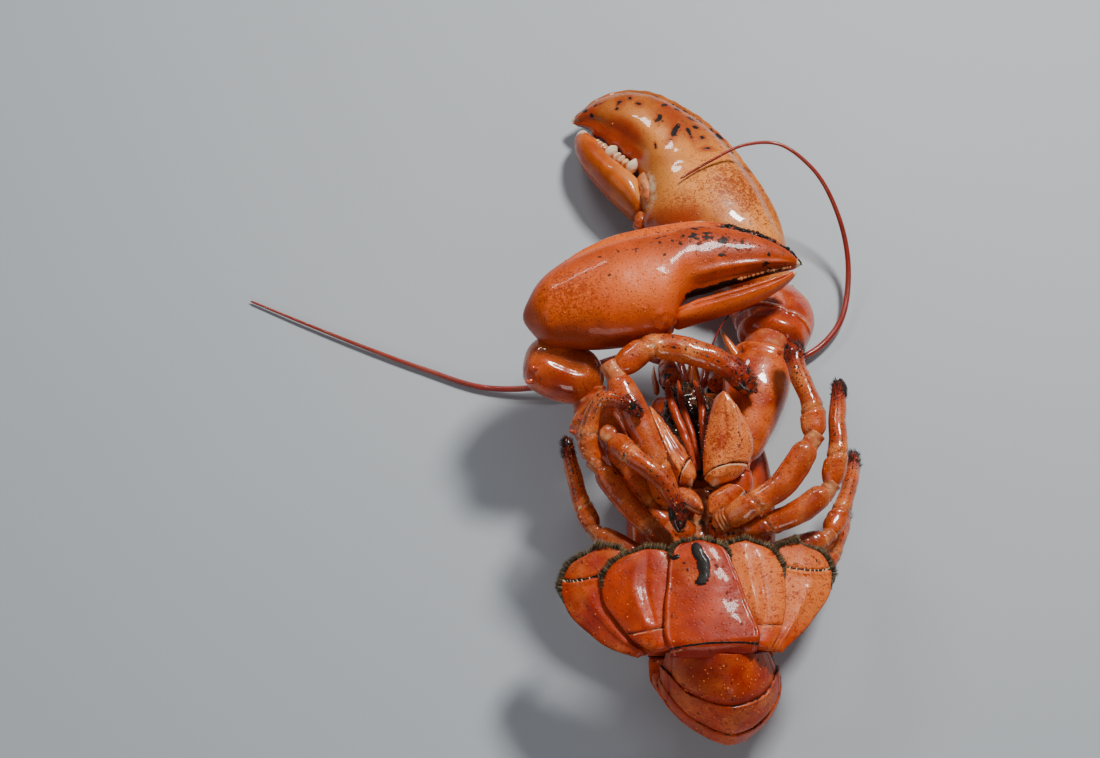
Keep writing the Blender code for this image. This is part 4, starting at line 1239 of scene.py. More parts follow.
def telson_marks(skin, above):
    """The middle blade's raised black blots, and the rim that dips where it leaves the last ring."""
    t, side = skin.t, skin.side
    skin.lift(0.45 * hill(np.abs(side), 0.92, 0.05) * smooth(t, 0.95, 0.8))
    blot = patch(skin, -4.6, -25.5, 2.0, 3.6, 12) + patch(skin, -2.2, -31.5, 2.1, 4.0, 0)
    blot = blot + patch(skin, -3.2, -37.2, 2.6, 1.8, 35) + 0.75 * patch(skin, -12.5, -27.5, 2.0, 1.2, 20)
    skin.paint(black=2.4 * smooth(blot, 0.25, 0.6) * above)
    skin.lift(0.45 * smooth(blot, 0.3, 0.7) * above)
    skin.points[..., 2] -= 3.2 * smooth(t, 0.12, 0.0) ** 2
    skin.points[..., 1] -= 1.6 * (1 - side ** 2) * smooth(t, 0.25, 0.0)
    bend = t - 0.035 * (1 - side ** 2)
    worn = smooth(lumps(skin.points, 3.0, 2.0), -0.3, 0.5)
    skin.paint(pale=0.55 * hill(bend, 0.022, 0.007) * above * worn)
    skin.paint(black=1.5 * hill(bend, 0.040, 0.006) * above, deep=0.7 * smooth(bend, 0.03, 0.0))


def outer_blade_marks(skin, above, away):
    """An outer blade's cut across its end, the ridge along it and the fine rays beyond the cut."""
    t, side = skin.t, skin.side
    cut = hill(t, 0.70 + 0.06 * side ** 2, 0.010) * smooth(skin.top, -0.1, 0.2)
    skin.lift(-0.8 * cut + 0.35 * hill(t, 0.67 + 0.06 * side ** 2, 0.014))
    skin.paint(black=0.9 * cut)
    skin.lift(0.6 * hill(side, -0.25 * away, 0.12) * smooth(t, 0.68, 0.55) * above)
    rays = np.sin(side * 60) * smooth(t, 0.72, 0.80) * smooth(np.abs(side), 1.0, 0.8)
    skin.lift(0.07 * rays * above)


def inner_blade_marks(skin, above, away):
    """An inner blade's step where it leaves its base, and the ridge and the groove along it."""
    t, side = skin.t, skin.side
    step = t + 0.030 * side * away
    skin.lift(0.55 * smooth(step, 0.185, 0.165) * above - 0.4 * hill(step, 0.195, 0.010) * above)
    skin.paint(black=0.7 * hill(step, 0.195, 0.007) * above)
    worn = smooth(lumps(skin.points, 2.5, 4.0), -0.4, 0.4)
    skin.paint(pale=0.7 * hill(step, 0.176, 0.006) * above * worn)
    skin.lift(0.6 * hill(side, 0.1, 0.10) * smooth(t, 0.92, 0.6) * smooth(t, 0.18, 0.26) * above)
    skin.lift(-0.45 * hill(side, -0.12, 0.05) * smooth(t, 0.92, 0.6) * smooth(t, 0.2, 0.28) * above)


def fan_blade(name):
    """A blade of the tail fan: a thin crowned plate with a rounded outer edge."""
    left, right, base_z, tip_z, thick = FAN[name]
    skin = plate(left, right, ((0, base_z), (1, tip_z)), thick, 0.8, 150, 132, (0.05, 0.10), (2.6, 2.0),
                 ((-1, 0.88, 1.0, 1.0),))
    t, side = skin.t, skin.side
    away = -1.0 if "right" in name else 1.0
    if "outer" in name:
        skin.points[..., 2] += away * 3.4 * side * smooth(t, 0.0, 0.4) - 1.0
    elif "inner" in name:
        skin.points[..., 2] += away * 1.2 * side * smooth(t, 0.0, 0.4)
    above = smooth(skin.top, 0.0, 0.4)
    skin.roughen(9, 0.35, len(name)).roughen(2.6, 0.07, 2.0)
    skin.mottle(worms=(0.20, 0.30, 6, len(name)), deep=(0.30, 0.5, 7, 3.0), light=(0.18, 0.60, 6, 6.0))
    skin.mottle(black=(0.10, 0.44, 1.2, 4.0))
    skin.paint(deep=0.75 * smooth(t, 0.90, 0.97))
    skin.paint(black=0.85 * hill(np.abs(side), 1.0, 0.012) * smooth(t, 0.95, 0.85))
    if name == "telson":
        telson_marks(skin, above)
    elif "outer" in name:
        outer_blade_marks(skin, above, away)
    else:
        inner_blade_marks(skin, above, away)
    if "left" in name:
        # Painted highlight: the upper face of the two blades on the animal's left is painted paler, and
        # their deep colour is halved.
        skin.paint(light=1.1 * hill(t, 0.55, 0.38) * above)
        skin.masks["deep"] = 0.5 * skin.masks["deep"]
    return skin


def tail_fan():
    """The five blades of the tail fan, each with its own fringe."""
    for name in FAN:
        skin = fan_blade(name)
        piece = droplets(Bundle().skin(skin), skin, 26, 0.05, 0.9, len(name))
        piece.make(name + "_shell", "shell_red", "tail_shell", name)
        fringe(skin, name)


def fringe(skin, name):
    """The bristles on a blade's outer edge, and the row of small teeth across an outer blade.

    The edge line runs down one side of the blade's end and back up the other; the bristles stand
    on it at random distances and point away from the blade's middle.
    """
    half = skin.points.shape[1] // 2
    rows = np.where(skin.t[:, 0] > (0.72 if name == "telson" else 0.60))[0]
    line = np.vstack([skin.points[rows, 0], skin.points[rows[::-1], half]])
    along = travelled(line)
    out = np.cross(unit(np.gradient(line, axis=0)), UP)
    out *= np.sign(np.einsum("nk,nk->n", out, line - skin.points.mean(axis=(0, 1))))[:, None]
    rng = np.random.default_rng(len(name) + 3)
    count = int(along[-1] / (sizes().fringe_step / MM))
    at = np.sort(rng.uniform(0, along[-1], count))
    root, ahead = (np.stack([np.interp(at, along, values[:, k]) for k in range(3)], axis=-1)
                   for values in (line, out))
    ahead = unit(ahead)
    fade = smooth(at / along[-1], 0.0, 0.16) * smooth(at / along[-1], 1.0, 0.84)
    root = root - ahead * 0.8 + rng.normal(0, 1, (count, 3)) * [0.08, 0.08, 0.30]
    ahead = unit(ahead + rng.normal(0, 0.09, (count, 3)) + [0, 0, 0.05])
    short, long = sizes().fringe_short / MM, sizes().fringe_long / MM
    length = (short + (long - short) * fade) * rng.uniform(0.85, 1.06, count)
    clump = rolling(root, 0.9, 3.0)
    tint = np.clip(0.28 + 0.30 * clump + rng.normal(0, 0.18, count), 0, 1)
    # A few bristles are painted fully pale and made longer: painted glints in the fringe.
    glinting = rng.uniform(0, 1, count) > 0.93
    tint[glinting] = 1.0
    length[glinting] *= 1.18
    tints = {"light": 0.8 * tint, "deep": 1 - 2.0 * tint}
    piece = Bundle().hairs(root, ahead, length, 0.105, 0.10, tints)
    if "outer" in name:
        turn = np.linspace(0.10, 0.90, 34)
        forward = unit(skin.points[-1].mean(axis=0) - skin.points[0].mean(axis=0))
        every_other = np.arange(34) % 2 * 1.0
        piece.studs(skin, 0.69 + 0.06 * np.cos(turn * pi) ** 2, turn, 0.05, [[0.26, 0.26, 0.95]] * 34,
                    {"light": every_other, "pale": every_other}, 6, 7, forward, 0.5)
    piece.make(name + "_bristles", "bristle_brown", "bristle")


# --- arms and legs --------------------------------------------------------------------------------

def cuff(start, stop, wide, tall, shift=0.0, rows=44, sides=56, red=0.35):
    """Soft skin across a joint: a short tube with a few uneven folds round it."""
    start, stop = np.asarray(start, float), np.asarray(stop, float)
    reach = stop - start
    beyond = reach * min(0.4, 0.45 * wide / np.linalg.norm(reach))
    waist = ((0, 1.0), (0.5, 0.94), (1, 1.0))
    widths, heights = ([(t, size * part) for t, part in waist] for size in (wide, tall))
    middle_line = (start - beyond, (start + stop) / 2, stop + beyond)
    skin = tube(middle_line, widths, heights, rows, sides, ends=(0.1, 0.1))
    fold = np.sin(skin.t * pi * 5 + 2.5 * lumps(skin.points, 0.8 * wide, shift))
    skin.lift(0.025 * wide * fold * smooth(np.abs(skin.t - 0.5), 0.5, 0.4))
    skin.roughen(0.35 * wide, 0.06 * wide, shift)
    skin.mottle(light=(0.25, 0.7, 2.2, 1.0 + shift))
    skin.paint(deep=red + 0.7 * rolling(skin.points, 2.6, 5.0 + shift))
    skin.mottle(black=(0.02, 0.45, 1.0, 7.0 + shift))
    return skin


# Each joint of the arms: its middle line, its half widths at both ends, its half heights at both ends.
ARMS = (
    ("arm_base_right", ((-13.5, 8.5, 47.5), (-17.5, 12.5, 47.5)), 4.8, 5.4, 4.2, 4.7),
    ("arm_upper_right", ((-19.5, 15.5, 46.5), (-32, 27.5, 44.5), (-45.5, 43, 43)), 5.5, 11.4, 4.8, 9.8),
    ("arm_wrist_right", ((-38, 51.5, 46.0), (-52, 55.5, 48), (-68.5, 62, 51.5)), 9.0, 12.0, 8.5, 10.0),
    ("arm_base_left", ((13, 3, 47.5), (13, 14, 47.5)), 5.0, 5.8, 4.2, 4.8),
    ("arm_upper_left", ((14, 17.5, 47.5), (20, 42, 45.5), (27, 70, 42.5)), 6.2, 12.6, 5.2, 10.2),
    ("arm_wrist_left", ((28.0, 70.0, 41.2), (32, 86, 33), (27.5, 100, 21)), 12.8, 15.5, 10.4, 11.0),
)


def arm_piece(name, points, start_wide, end_wide, start_tall, end_tall):
    """A joint of a claw's arm: widening away from the body, with a raised lip at its far end."""
    wrist, right = "wrist" in name, "right" in name
    widths, heights = (((0, start), (0.5 if wrist else 0.65, 1.03 * end), (1, 0.92 * end))
                       for start, end in ((start_wide, end_wide), (start_tall, end_tall)))
    ends = (0.28 if right else 0.16, 0.26) if wrist else (0.14, 0.14)
    skin = tube(points, widths, heights, 110, 96, ends=ends, power=2.25)
    t, side, top = skin.t, skin.side, skin.top
    shift = len(name) + start_wide
    skin.roughen(0.9 * end_wide, 0.045 * end_wide, shift).roughen(3.0, 0.10, shift + 2)
    lip = hill(t, 0.90, 0.022)
    skin.lift((0.35 * lip - 0.35 * hill(t, 0.84, 0.03)) * (0.4 if wrist else 1.0))
    if wrist:
        groove = hill(side, 0.15 if right else -0.2, 0.10) * smooth(t, 0.15, 0.35)
        skin.lift(-0.07 * end_wide * groove * smooth(t, 0.85, 0.6) * smooth(top, 0, 0.3))
    if name == "arm_wrist_left":
        upper, slanted = smooth(top, 0.1, 0.4), t - 0.04 * side
        fold = hill(slanted, 0.30, 0.010) * upper
        skin.lift(-0.5 * fold + 0.5 * hill(slanted, 0.33, 0.016) * upper)
        skin.paint(pale=0.62 * hill(slanted, 0.325, 0.009) * upper, deep=0.8 * fold)
    skin.paint(light=0.40 + 0.55 * rolling(skin.points, 9, shift) + 0.3 * lip)
    skin.mottle(deep=(0.26, 0.55, 7, shift + 4), worms=(0.24, 0.34, 8, shift + 6))
    skin.paint(pale=(0.0 if wrist else 0.5) * hill(t, 0.965, 0.010))
    skin.mottle(black=(0.04, 0.46, 1.1, shift + 8))
    return skin


def arms():
    """The joints of both arms with blunt spines near their far ends, and the soft skin between them."""
    for name, points, *shape in ARMS:
        skin = arm_piece(name, points, *shape)
        piece = Bundle().skin(skin)
        if name == "arm_upper_left":
            spine = tube(((16, 60, 47), (12.0, 67, 48.5), (8.2, 74, 50)), ((0, 2.8), (0.5, 1.7), (1, 0.15)),
                         None, 60, 32, ends=(0.1, 0.02))
            spine.paint(light=0.5 + 0.4 * spine.t, pale=0.9 * smooth(spine.t, 0.7, 1.0))
            piece.skin(spine)
        if "base" not in name:
            end_wide = shape[1]
            forward = unit(np.subtract(points[-1], points[0]))
            radii = np.array([[0.09, 0.09, 0.22], [0.08, 0.08, 0.16],
                              [0.10, 0.10, 0.26], [0.08, 0.08, 0.20]])
            piece.studs(skin, [0.82, 0.86, 0.80, 0.84], [0.30, 0.64, 0.10, 0.90], 0.4, radii * end_wide,
                        {"pale": [0.2, 0.2, 0.3, 0.2], "deep": 0.3}, 11, 14, 0.6 * forward)
        piece.make(name + "_shell", "shell_orange", "arm_shell", name)
    soft = Bundle()
    for start, stop, wide, tall in (
            ((-17.5, 12.5, 47.5), (-20.5, 16.5, 46.5), 4.4, 4.0),
            ((-43, 43, 43.5), (-44, 48, 45.5), 7.2, 6.0), ((-57, 62, 51.5), (-58.5, 66, 55), 4.4, 4.0),
            ((13, 14, 47.5), (14, 18.5, 47.5), 4.8, 4.2), ((25.5, 65.0, 42.8), (28.6, 74.0, 40), 9.6, 8.0),
            ((28.0, 97, 22), (26.5, 104, 16), 10.6, 8.4)):
        soft.skin(cuff(start, stop, wide, tall, wide, red=0.62))
    for x, y in ((-9, 5.5), (9, 2)):
        soft.skin(cuff((x, y, 46.5), (x * 1.5, y + 3, 47.2), 4.6, 4.0, y))
    soft.make("arm_membranes", "membrane_cream", "membrane")


def letters(name):
    """A number that stands for a name, to shift noise and to seed draws."""
    return sum(map(ord, name))


def leg_parts(side):
    """The two long parts of a walking leg, each with a pinched joint partway along."""
    thick, upper, lower = LEGS[side]
    thick = sizes().leg_fullness * thick
    upper, lower = np.array(upper, float), np.array(lower, float)
    knee = (upper[-1] + lower[0]) / 2
    upper[-1] += 0.95 * (knee - upper[-1])
    lower[0] += 0.80 * (knee - lower[0])
    shift = letters(side) % 17
    hip = tube(upper, ((0, 0.90), (0.18, 1), (0.3, 0.92), (0.45, 1), (0.85, 1.06), (1, 0.90)),
               ((0, 0.85), (0.3, 0.84), (1, 0.88)), 120, 52, ends=(0.10, 0.12), scale=thick)
    slim = 1.0 if side == "right_1" else 0.80
    shin = tube(lower, ((0, 0.82), (0.16, 1), (0.27, 0.88), (0.4, 0.98 * slim), (0.65, 0.94 * slim),
                        (0.8, 0.82 * slim), (1, 0.44)),
                ((0, 0.80), (0.27, 0.80), (0.6, 0.84), (1, 0.36)), 140, 52, ends=(0.12, 0.08),
                scale=thick)
    for skin, joint in ((hip, 0.30), (shin, 0.27)):
        t = skin.t
        slanted = t + 0.03 * skin.side
        skin.lift(0.05 * thick * (hill(slanted, joint - 0.04, 0.02) + hill(slanted, joint + 0.045, 0.03))
                  - 0.10 * thick * hill(slanted, joint, 0.012))
        skin.roughen(5, 0.30, shift).roughen(1.8, 0.08, shift + 1)
        skin.paint(light=0.30 + 0.55 * rolling(skin.points, 6, shift + 2)
                   + 0.5 * hill(t, joint + 0.03, 0.05))
        skin.paint(light=0.35 * hill(skin.side, 0.2, 0.3) * smooth(skin.top, 0.4, 0.8))
        skin.mottle(deep=(0.18, 0.55, 7, shift + 5), worms=(0.26, 0.38, 5, shift + 9))
        ragged = rolling(skin.points, 1.6, shift + 3)
        skin.paint(pale=(0.15 + 0.9 * ragged) * hill(slanted, joint + 0.006, 0.022))
        rims = smooth(t, 0.09, 0.03) + (skin is hip) * hill(t, 0.97, 0.03)
        skin.paint(pale=(0.1 + 0.8 * ragged) * rims)
        skin.mottle(black=(0.07, 0.50, 1.2, shift + 8))
        skin.paint(black=0.65 * hill(slanted, joint - 0.012, 0.004))
    t, across = shin.t, shin.side
    if side.endswith("1"):
        shin.lift(0.26 * thick * smooth(t, 0.72, 0.90) * smooth(t, 1.0, 0.96))
    tip = smooth(t + 0.05 * lumps(shin.points, 2.0), 0.76, 0.90)
    rows = np.maximum(hill(across, 0.42, 0.09), hill(across, -0.36, 0.08)) * smooth(shin.top, 0.1, 0.3)
    beat = smooth(np.sin(2 * pi * (15 * t + 0.35 * across) + shift), 0.55, 0.9)
    shin.paint(black=0.95 * rows * beat * smooth(t, 0.30, 0.42), deep=0.9 * smooth(t, 0.6, 0.84))
    shin.paint(black=0.42 * tip + 0.50 * tip * rolling(shin.points, 1.3, shift))
    return hip, shin


def walking_leg(side):
    """A walking leg with its beads and, on the first two pairs, the small finger of its pincer."""
    hip, shin = leg_parts(side)
    thick, _, lower = LEGS[side]
    rng = np.random.default_rng(letters(side))
    piece = Bundle().skin(hip).skin(shin)
    droplets(droplets(piece, hip, 14, 0.2, 0.95, 15), shin, 22, 0.1, 0.9, 16)
    for turn, start in ((0.30, 0.36), (0.62, 0.42), (0.46, 0.60)):
        at = np.linspace(start, 0.84, 11) + rng.normal(0, 0.006, 11)
        piece.studs(shin, at, turn, 0.12, 0.26 + 0.10 * rng.random(11), {"black": 0.85}, 6, 8)
    size = 0.24 + 0.10 * rng.random(9)
    piece.studs(hip, np.linspace(0.4, 0.92, 9), 0.28, 0.12, size, {"deep": 1.0, "black": 0.6}, 6, 8)
    if side.endswith(("1", "2")):
        root = spine_through(lower, np.array([0.80, 0.93, 1.0]))
        forward = unit(root[2] - root[0])
        lean = unit(np.cross(forward, UP)) * (0.42 * thick) * (-1 if side == "right_1" else 1)
        nip = tube((root[0] + lean, root[1] + lean * 1.1, root[2] + lean * 0.45 + forward * 0.8),
                   ((0, 0.42), (0.5, 0.44), (1, 0.18)), ((0, 0.5), (0.5, 0.48), (1, 0.2)), 50, 28,
                   ends=(0.15, 0.08), scale=thick)
        nip.roughen(1.6, 0.12, 3.0)
        nip.paint(deep=0.9)
        nip.mottle(black=(0.55, 0.5, 1.8, 5.0))
        piece.skin(nip)
    piece.make(f"leg_{side}_shell", "shell_orange", "leg_shell", f"leg_{side}_upper", f"leg_{side}_lower")
    tufts(side, hip, shin, rng)


def tufts(side, hip, shin, rng):
    """Hairs on a leg: dark ones round its tip, fine pale ones along its upper edge and at its joints."""
    piece = Bundle()
    for skin, low, high, count, length, dark in (
            (shin, 0.78, 0.98, 260, 1.9, True), (shin, 0.30, 0.78, 150, 0.9, False),
            (shin, 0.23, 0.31, 90, 1.1, False), (hip, 0.26, 0.34, 90, 1.1, False)):
        at = rng.uniform(low, high, count)
        foot, out = on_skin(skin, at, rng.uniform(0.02, 0.98, count) * pi, 0.1)
        drift = unit(np.gradient(skin.points.mean(axis=1), axis=0))
        row = np.abs(skin.t[:, 0][None] - at[:, None]).argmin(axis=1)
        ahead = unit(out + 0.9 * drift[row] + rng.normal(0, 0.2, (count, 3)))
        tint = rng.uniform(0.0, 0.35, count) if dark else rng.uniform(0.5, 1.0, count)
        piece.hairs(foot, ahead, length * rng.uniform(0.6, 1.1, count), 0.075 if dark else 0.05, 0.25,
                    {"light": tint, "deep": 0.9 if dark else 0.0})
    piece.make(f"leg_{side}_hairs", "bristle_brown", "bristle")


def leg_bases():
    """The short stout hip joint of each walking leg, and the soft cuffs between the parts."""
    shells, soft = Bundle(), Bundle()
    for side, (thick, upper, lower) in LEGS.items():
        first, second = np.array(upper[0], float), np.array(upper[1], float)
        shift = letters(side) % 13
        ahead = unit(second - first)
        x = -1 if side.startswith("right") else 1
        root = np.array([x * 4.6, first[1] - 1.0, 45.8])
        block = tube((root, (root + first) / 2 + [0, 0, 1.0], first + 0.6 * ahead),
                     ((0, 0.9), (0.5, 1.22), (1, 1.0)), ((0, 0.8), (0.5, 1.05), (1, 0.9)), 64, 44,
                     ends=(0.2, 0.14), scale=thick)
        block.roughen(4, 0.3, shift)
        block.mottle(light=(0.35, 0.6, 5, shift + 1))
        block.paint(pale=0.8 * smooth(block.t, 0.86, 0.95), worms=0.3)
        block.mottle(black=(0.28, 0.5, 1.6, shift + 8))
        shells.skin(block)
        soft.skin(cuff(upper[-1], lower[0], 0.84 * thick, 0.80 * thick, shift, 32, 36))
        soft.skin(cuff(first - 0.8 * ahead, first + 1.4 * ahead, 0.98 * thick, 0.88 * thick, shift + 2,
                       32, 36))
    shells.make("leg_base_shells", "shell_orange", "leg_shell")
    soft.make("leg_membranes", "membrane_cream", "membrane")


# --- mouth and head -------------------------------------------------------------------------------

def jaw_plate(left, right, levels, thick, crown, rows, sides):
    """A leaf-shaped plate with elliptic rims, pinched at both ends."""
    return plate(left, right, levels, thick, crown, rows, sides, (0.06, 0.08), (2.0, 2.0),
                 ((0, 0.10, 0.0, 0.85), (-1, 0.90, 1.0, 0.85)))


# Each jaw leg: its two edges seen from above, its levels along it, its thickness, its crown.
JAW_LEGS = {
    "right": (((-7, 4.5), (-13, 9.0), (-17, 16), (-19.5, 24), (-21.5, 31), (-22.5, 37)),
              ((-3.2, 5.5), (-3.4, 11), (-6.5, 17.5), (-11.0, 24.5), (-15.5, 31.5), (-19.5, 37)),
              ((0, 53.5), (0.5, 55.5), (1, 55)), 5.6, 2.2),
    "left": (((-0.3, 4.5), (-0.7, 11), (-0.3, 19), (1.6, 29), (3.6, 37), (5.5, 42.5)),
             ((6.5, 5.0), (14.5, 10), (18.4, 17.5), (17.8, 26), (14.5, 33), (9.5, 41)),
             ((0, 54), (0.5, 57.5), (1, 59)), 6.0, 3.0),
}


def jaw_leg_skin(side):
    """A jaw leg: a crowned leaf with a ridge and a groove along it and a fold near its root."""
    skin = jaw_plate(*JAW_LEGS[side], 150, 110)
    t, across = skin.t, skin.side
    inner = -1.0 if side == "right" else 1.0
    above = smooth(skin.top, -0.2, 0.3)
    skin.roughen(7, 0.4, JAW_LEGS[side][3]).roughen(2.2, 0.12, 2.0)
    ridge = hill(across + 0.25 * (t - 0.5), -0.30 * inner, 0.14)
    skin.lift(1.1 * ridge * above * smooth(t, 0.12, 0.3) * smooth(t, 0.97, 0.75))
    groove = hill(across, 0.25 * inner, 0.12) * above
    skin.lift(-0.6 * groove * smooth(t, 0.2, 0.35) * smooth(t, 0.9, 0.7))
    slanted = t + 0.10 * across
    fold = hill(slanted, 0.20, 0.012)
    skin.lift(-0.9 * fold * above)
    # Paler all over in rolling patches, and paler still along the ridge, where a highlight is painted.
    skin.paint(light=0.75 + 0.35 * rolling(skin.points, 7, 1.0) + 0.4 * ridge)
    skin.mottle(deep=(0.12, 0.5, 6, 3.0))
    skin.paint(worms=0.28 + 0.5 * hill(across, 0.35 * inner, 0.3) * hill(t, 0.42, 0.14))
    skin.mottle(smooth(t, 0.2, 0.4), black=(0.06, 0.5, 1.1, 7.0))
    dots = smooth(lumps(skin.points, 1.2), 0.0, 0.8)
    skin.paint(black=0.8 * fold + 0.25 * hill(t, 0.36, 0.04) * dots)
    skin.paint(pale=0.7 * hill(slanted, 0.178, 0.010) + 0.55 * smooth(t, 0.06, 0.02))
    return skin


def jaw_legs():
    """The two jaw legs that cover the mouth, with toothed hairy inner edges, and their roots."""
    rng = np.random.default_rng(5)
    hairs = Bundle()
    for side, inner_turn, teeth_turn, spine_turns in (
            ("right", 1.0, 0.97, (0.36, 0.32, 0.38)), ("left", 0.0, 0.03, (0.62, 0.66, 0.60))):
        skin = jaw_leg_skin(side)
        piece = droplets(Bundle().skin(skin), skin, 40, 0.1, 0.95, 14)
        at = np.linspace(0.26, 0.94, 26)
        size = 0.40 + 0.25 * np.abs(np.sin(at * 93))
        piece.studs(skin, at, teeth_turn, 0.1, size, {"deep": 0.9, "black": 0.3}, 7, 9)
        piece.studs(skin, [0.40, 0.46, 0.52], spine_turns, 0.2,
                    [[0.5, 0.5, 1.3], [0.45, 0.45, 1.1], [0.4, 0.4, 0.9]],
                    {"deep": 0.7, "pale": 0.3}, 8, 10, [0, 0.5, 0])
        piece.make(f"jaw_leg_{side}_shell", "shell_orange", "leg_shell", f"jaw_leg_{side}")
        count = 420
        at = rng.uniform(0.26, 0.97, count)
        foot, out = on_skin(skin, at, (inner_turn + rng.normal(0, 0.04, count)) * pi, 0.1)
        ahead = unit(out + [0, 0.5, 0.1] + rng.normal(0, 0.2, (count, 3)))
        hairs.hairs(foot, ahead, rng.uniform(1.0, 2.2, count), 0.07, 0.3,
                    {"light": rng.uniform(0, 0.6, count) ** 2, "deep": 0.7})
    hairs.make("jaw_leg_hairs", "bristle_brown", "bristle")

    collar = Bundle()
    for left, right, shift, rim in (
            (((-13.5, 3.0), (-9.5, -2.5), (-4.5, -6.0), (-1.0, -7.5)),
             ((-7.5, 5.5), (-4.5, 3.5), (-2.2, 0.5), (-0.6, -4.0)), 1.0, 0.85),
            (((0.4, -4.5), (1.2, 0.5), (4.0, 3.6), (9.5, 6.0)),
             ((1.2, -8.5), (6.0, -5.5), (12.0, -2.0), (16.5, 3.5)), 2.0, -0.85)):
        wedge = jaw_plate(left, right, ((0, 52.0), (0.5, 53.5), (1, 54.0)), 4.4, 1.2, 70, 56)
        wedge.roughen(4, 0.35, shift)
        wedge.mottle(light=(0.45, 0.5, 5, shift))
        wedge.paint(pale=0.75 * hill(wedge.side, rim, 0.12) + 0.4 * smooth(wedge.t, 0.08, 0.02), worms=0.4)
        collar.skin(wedge)
    collar.make("jaw_leg_roots", "shell_orange", "leg_shell")


def mouthparts():
    """The dark field of small mouthparts: two pairs of narrow leaves, lumps and many hairs."""
    y = np.linspace(12, 56, 90)
    t = np.linspace(0, 1, len(y))
    low, high = belly_height(y) - 1.0, 48.0 - 8.5 * t
    skin = upright(y, -1 - 4 * t, 9.5 * rounded(t, 0.2, 0.3), low, (low + high) / 2, high, 80, 2.5)
    skin.roughen(3.2, 1.6, 4.0).roughen(1.4, 0.45, 6.0)
    skin.mottle(light=(0.15, 0.6, 2.4, 2.0), black=(0.52, 0.5, 3.0, 8.0))
    piece = Bundle().skin(skin)
    leaves = Bundle()
    for points, wide in (
            (((-3.2, 12, 50), (-7, 26, 52), (-12, 41, 52), (-13, 52, 49)), 1.9),
            (((1.2, 12, 50), (0.2, 27, 51.5), (-0.5, 42, 51), (-2.5, 52, 48.5)), 1.6),
            (((-1.6, 14, 47), (-4.0, 28, 48.5), (-7.5, 42, 47), (-8.5, 54, 44)), 1.5)):
        widths = [(at, wide * part) for at, part in ((0, 0.9), (0.3, 1.0), (0.7, 0.9), (1, 0.5))]
        leaf = tube(points, widths, ((0, 1.4), (0.5, 1.6), (1, 0.9)), 90, 36, ends=(0.05, 0.08))
        leaf.roughen(2.4, 0.25, wide)
        leaf.mottle(light=(0.7, 0.4, 4, 1.0), black=(0.10, 0.5, 1.4, 3.0))
        leaf.paint(black=0.9 * edge(leaf, 0.08, 0.10) + 0.9 * edge(leaf, 0.92, 0.10))
        leaves.skin(leaf)
        for turn in (0.10, 0.90):
            leaves.studs(leaf, np.linspace(0.06, 0.92, 24), turn, 0.15, [[0.30, 0.34, 0.62]] * 24,
                         {"black": 0.6}, 7, 8, [0, 0.5, 0.3])
    piece.make("mouth_field", "mouth_brown", "mouth_shell", "mouthparts")
    leaves.make("mouth_leaves", "shell_orange", "mouth_leaf_shell")
    rng = np.random.default_rng(8)
    count = 2200
    at, turn = rng.uniform(0.02, 0.98, count), rng.uniform(0.15, 0.85, count) * pi
    foot, out = on_skin(skin, at, turn, 0.2)
    ahead = unit(out * 0.8 + [0, 0.7, 0.1] + rng.normal(0, 0.35, (count, 3)))
    # Most hairs are dark; a few are painted pale as painted glints.
    tint = rng.uniform(0, 1, count) ** 6
    Bundle().hairs(foot, ahead, rng.uniform(1.4, 3.6, count), 0.085, 0.35,
                   {"light": tint, "deep": 1 - tint}).make("mouth_hairs", "bristle_brown", "bristle")


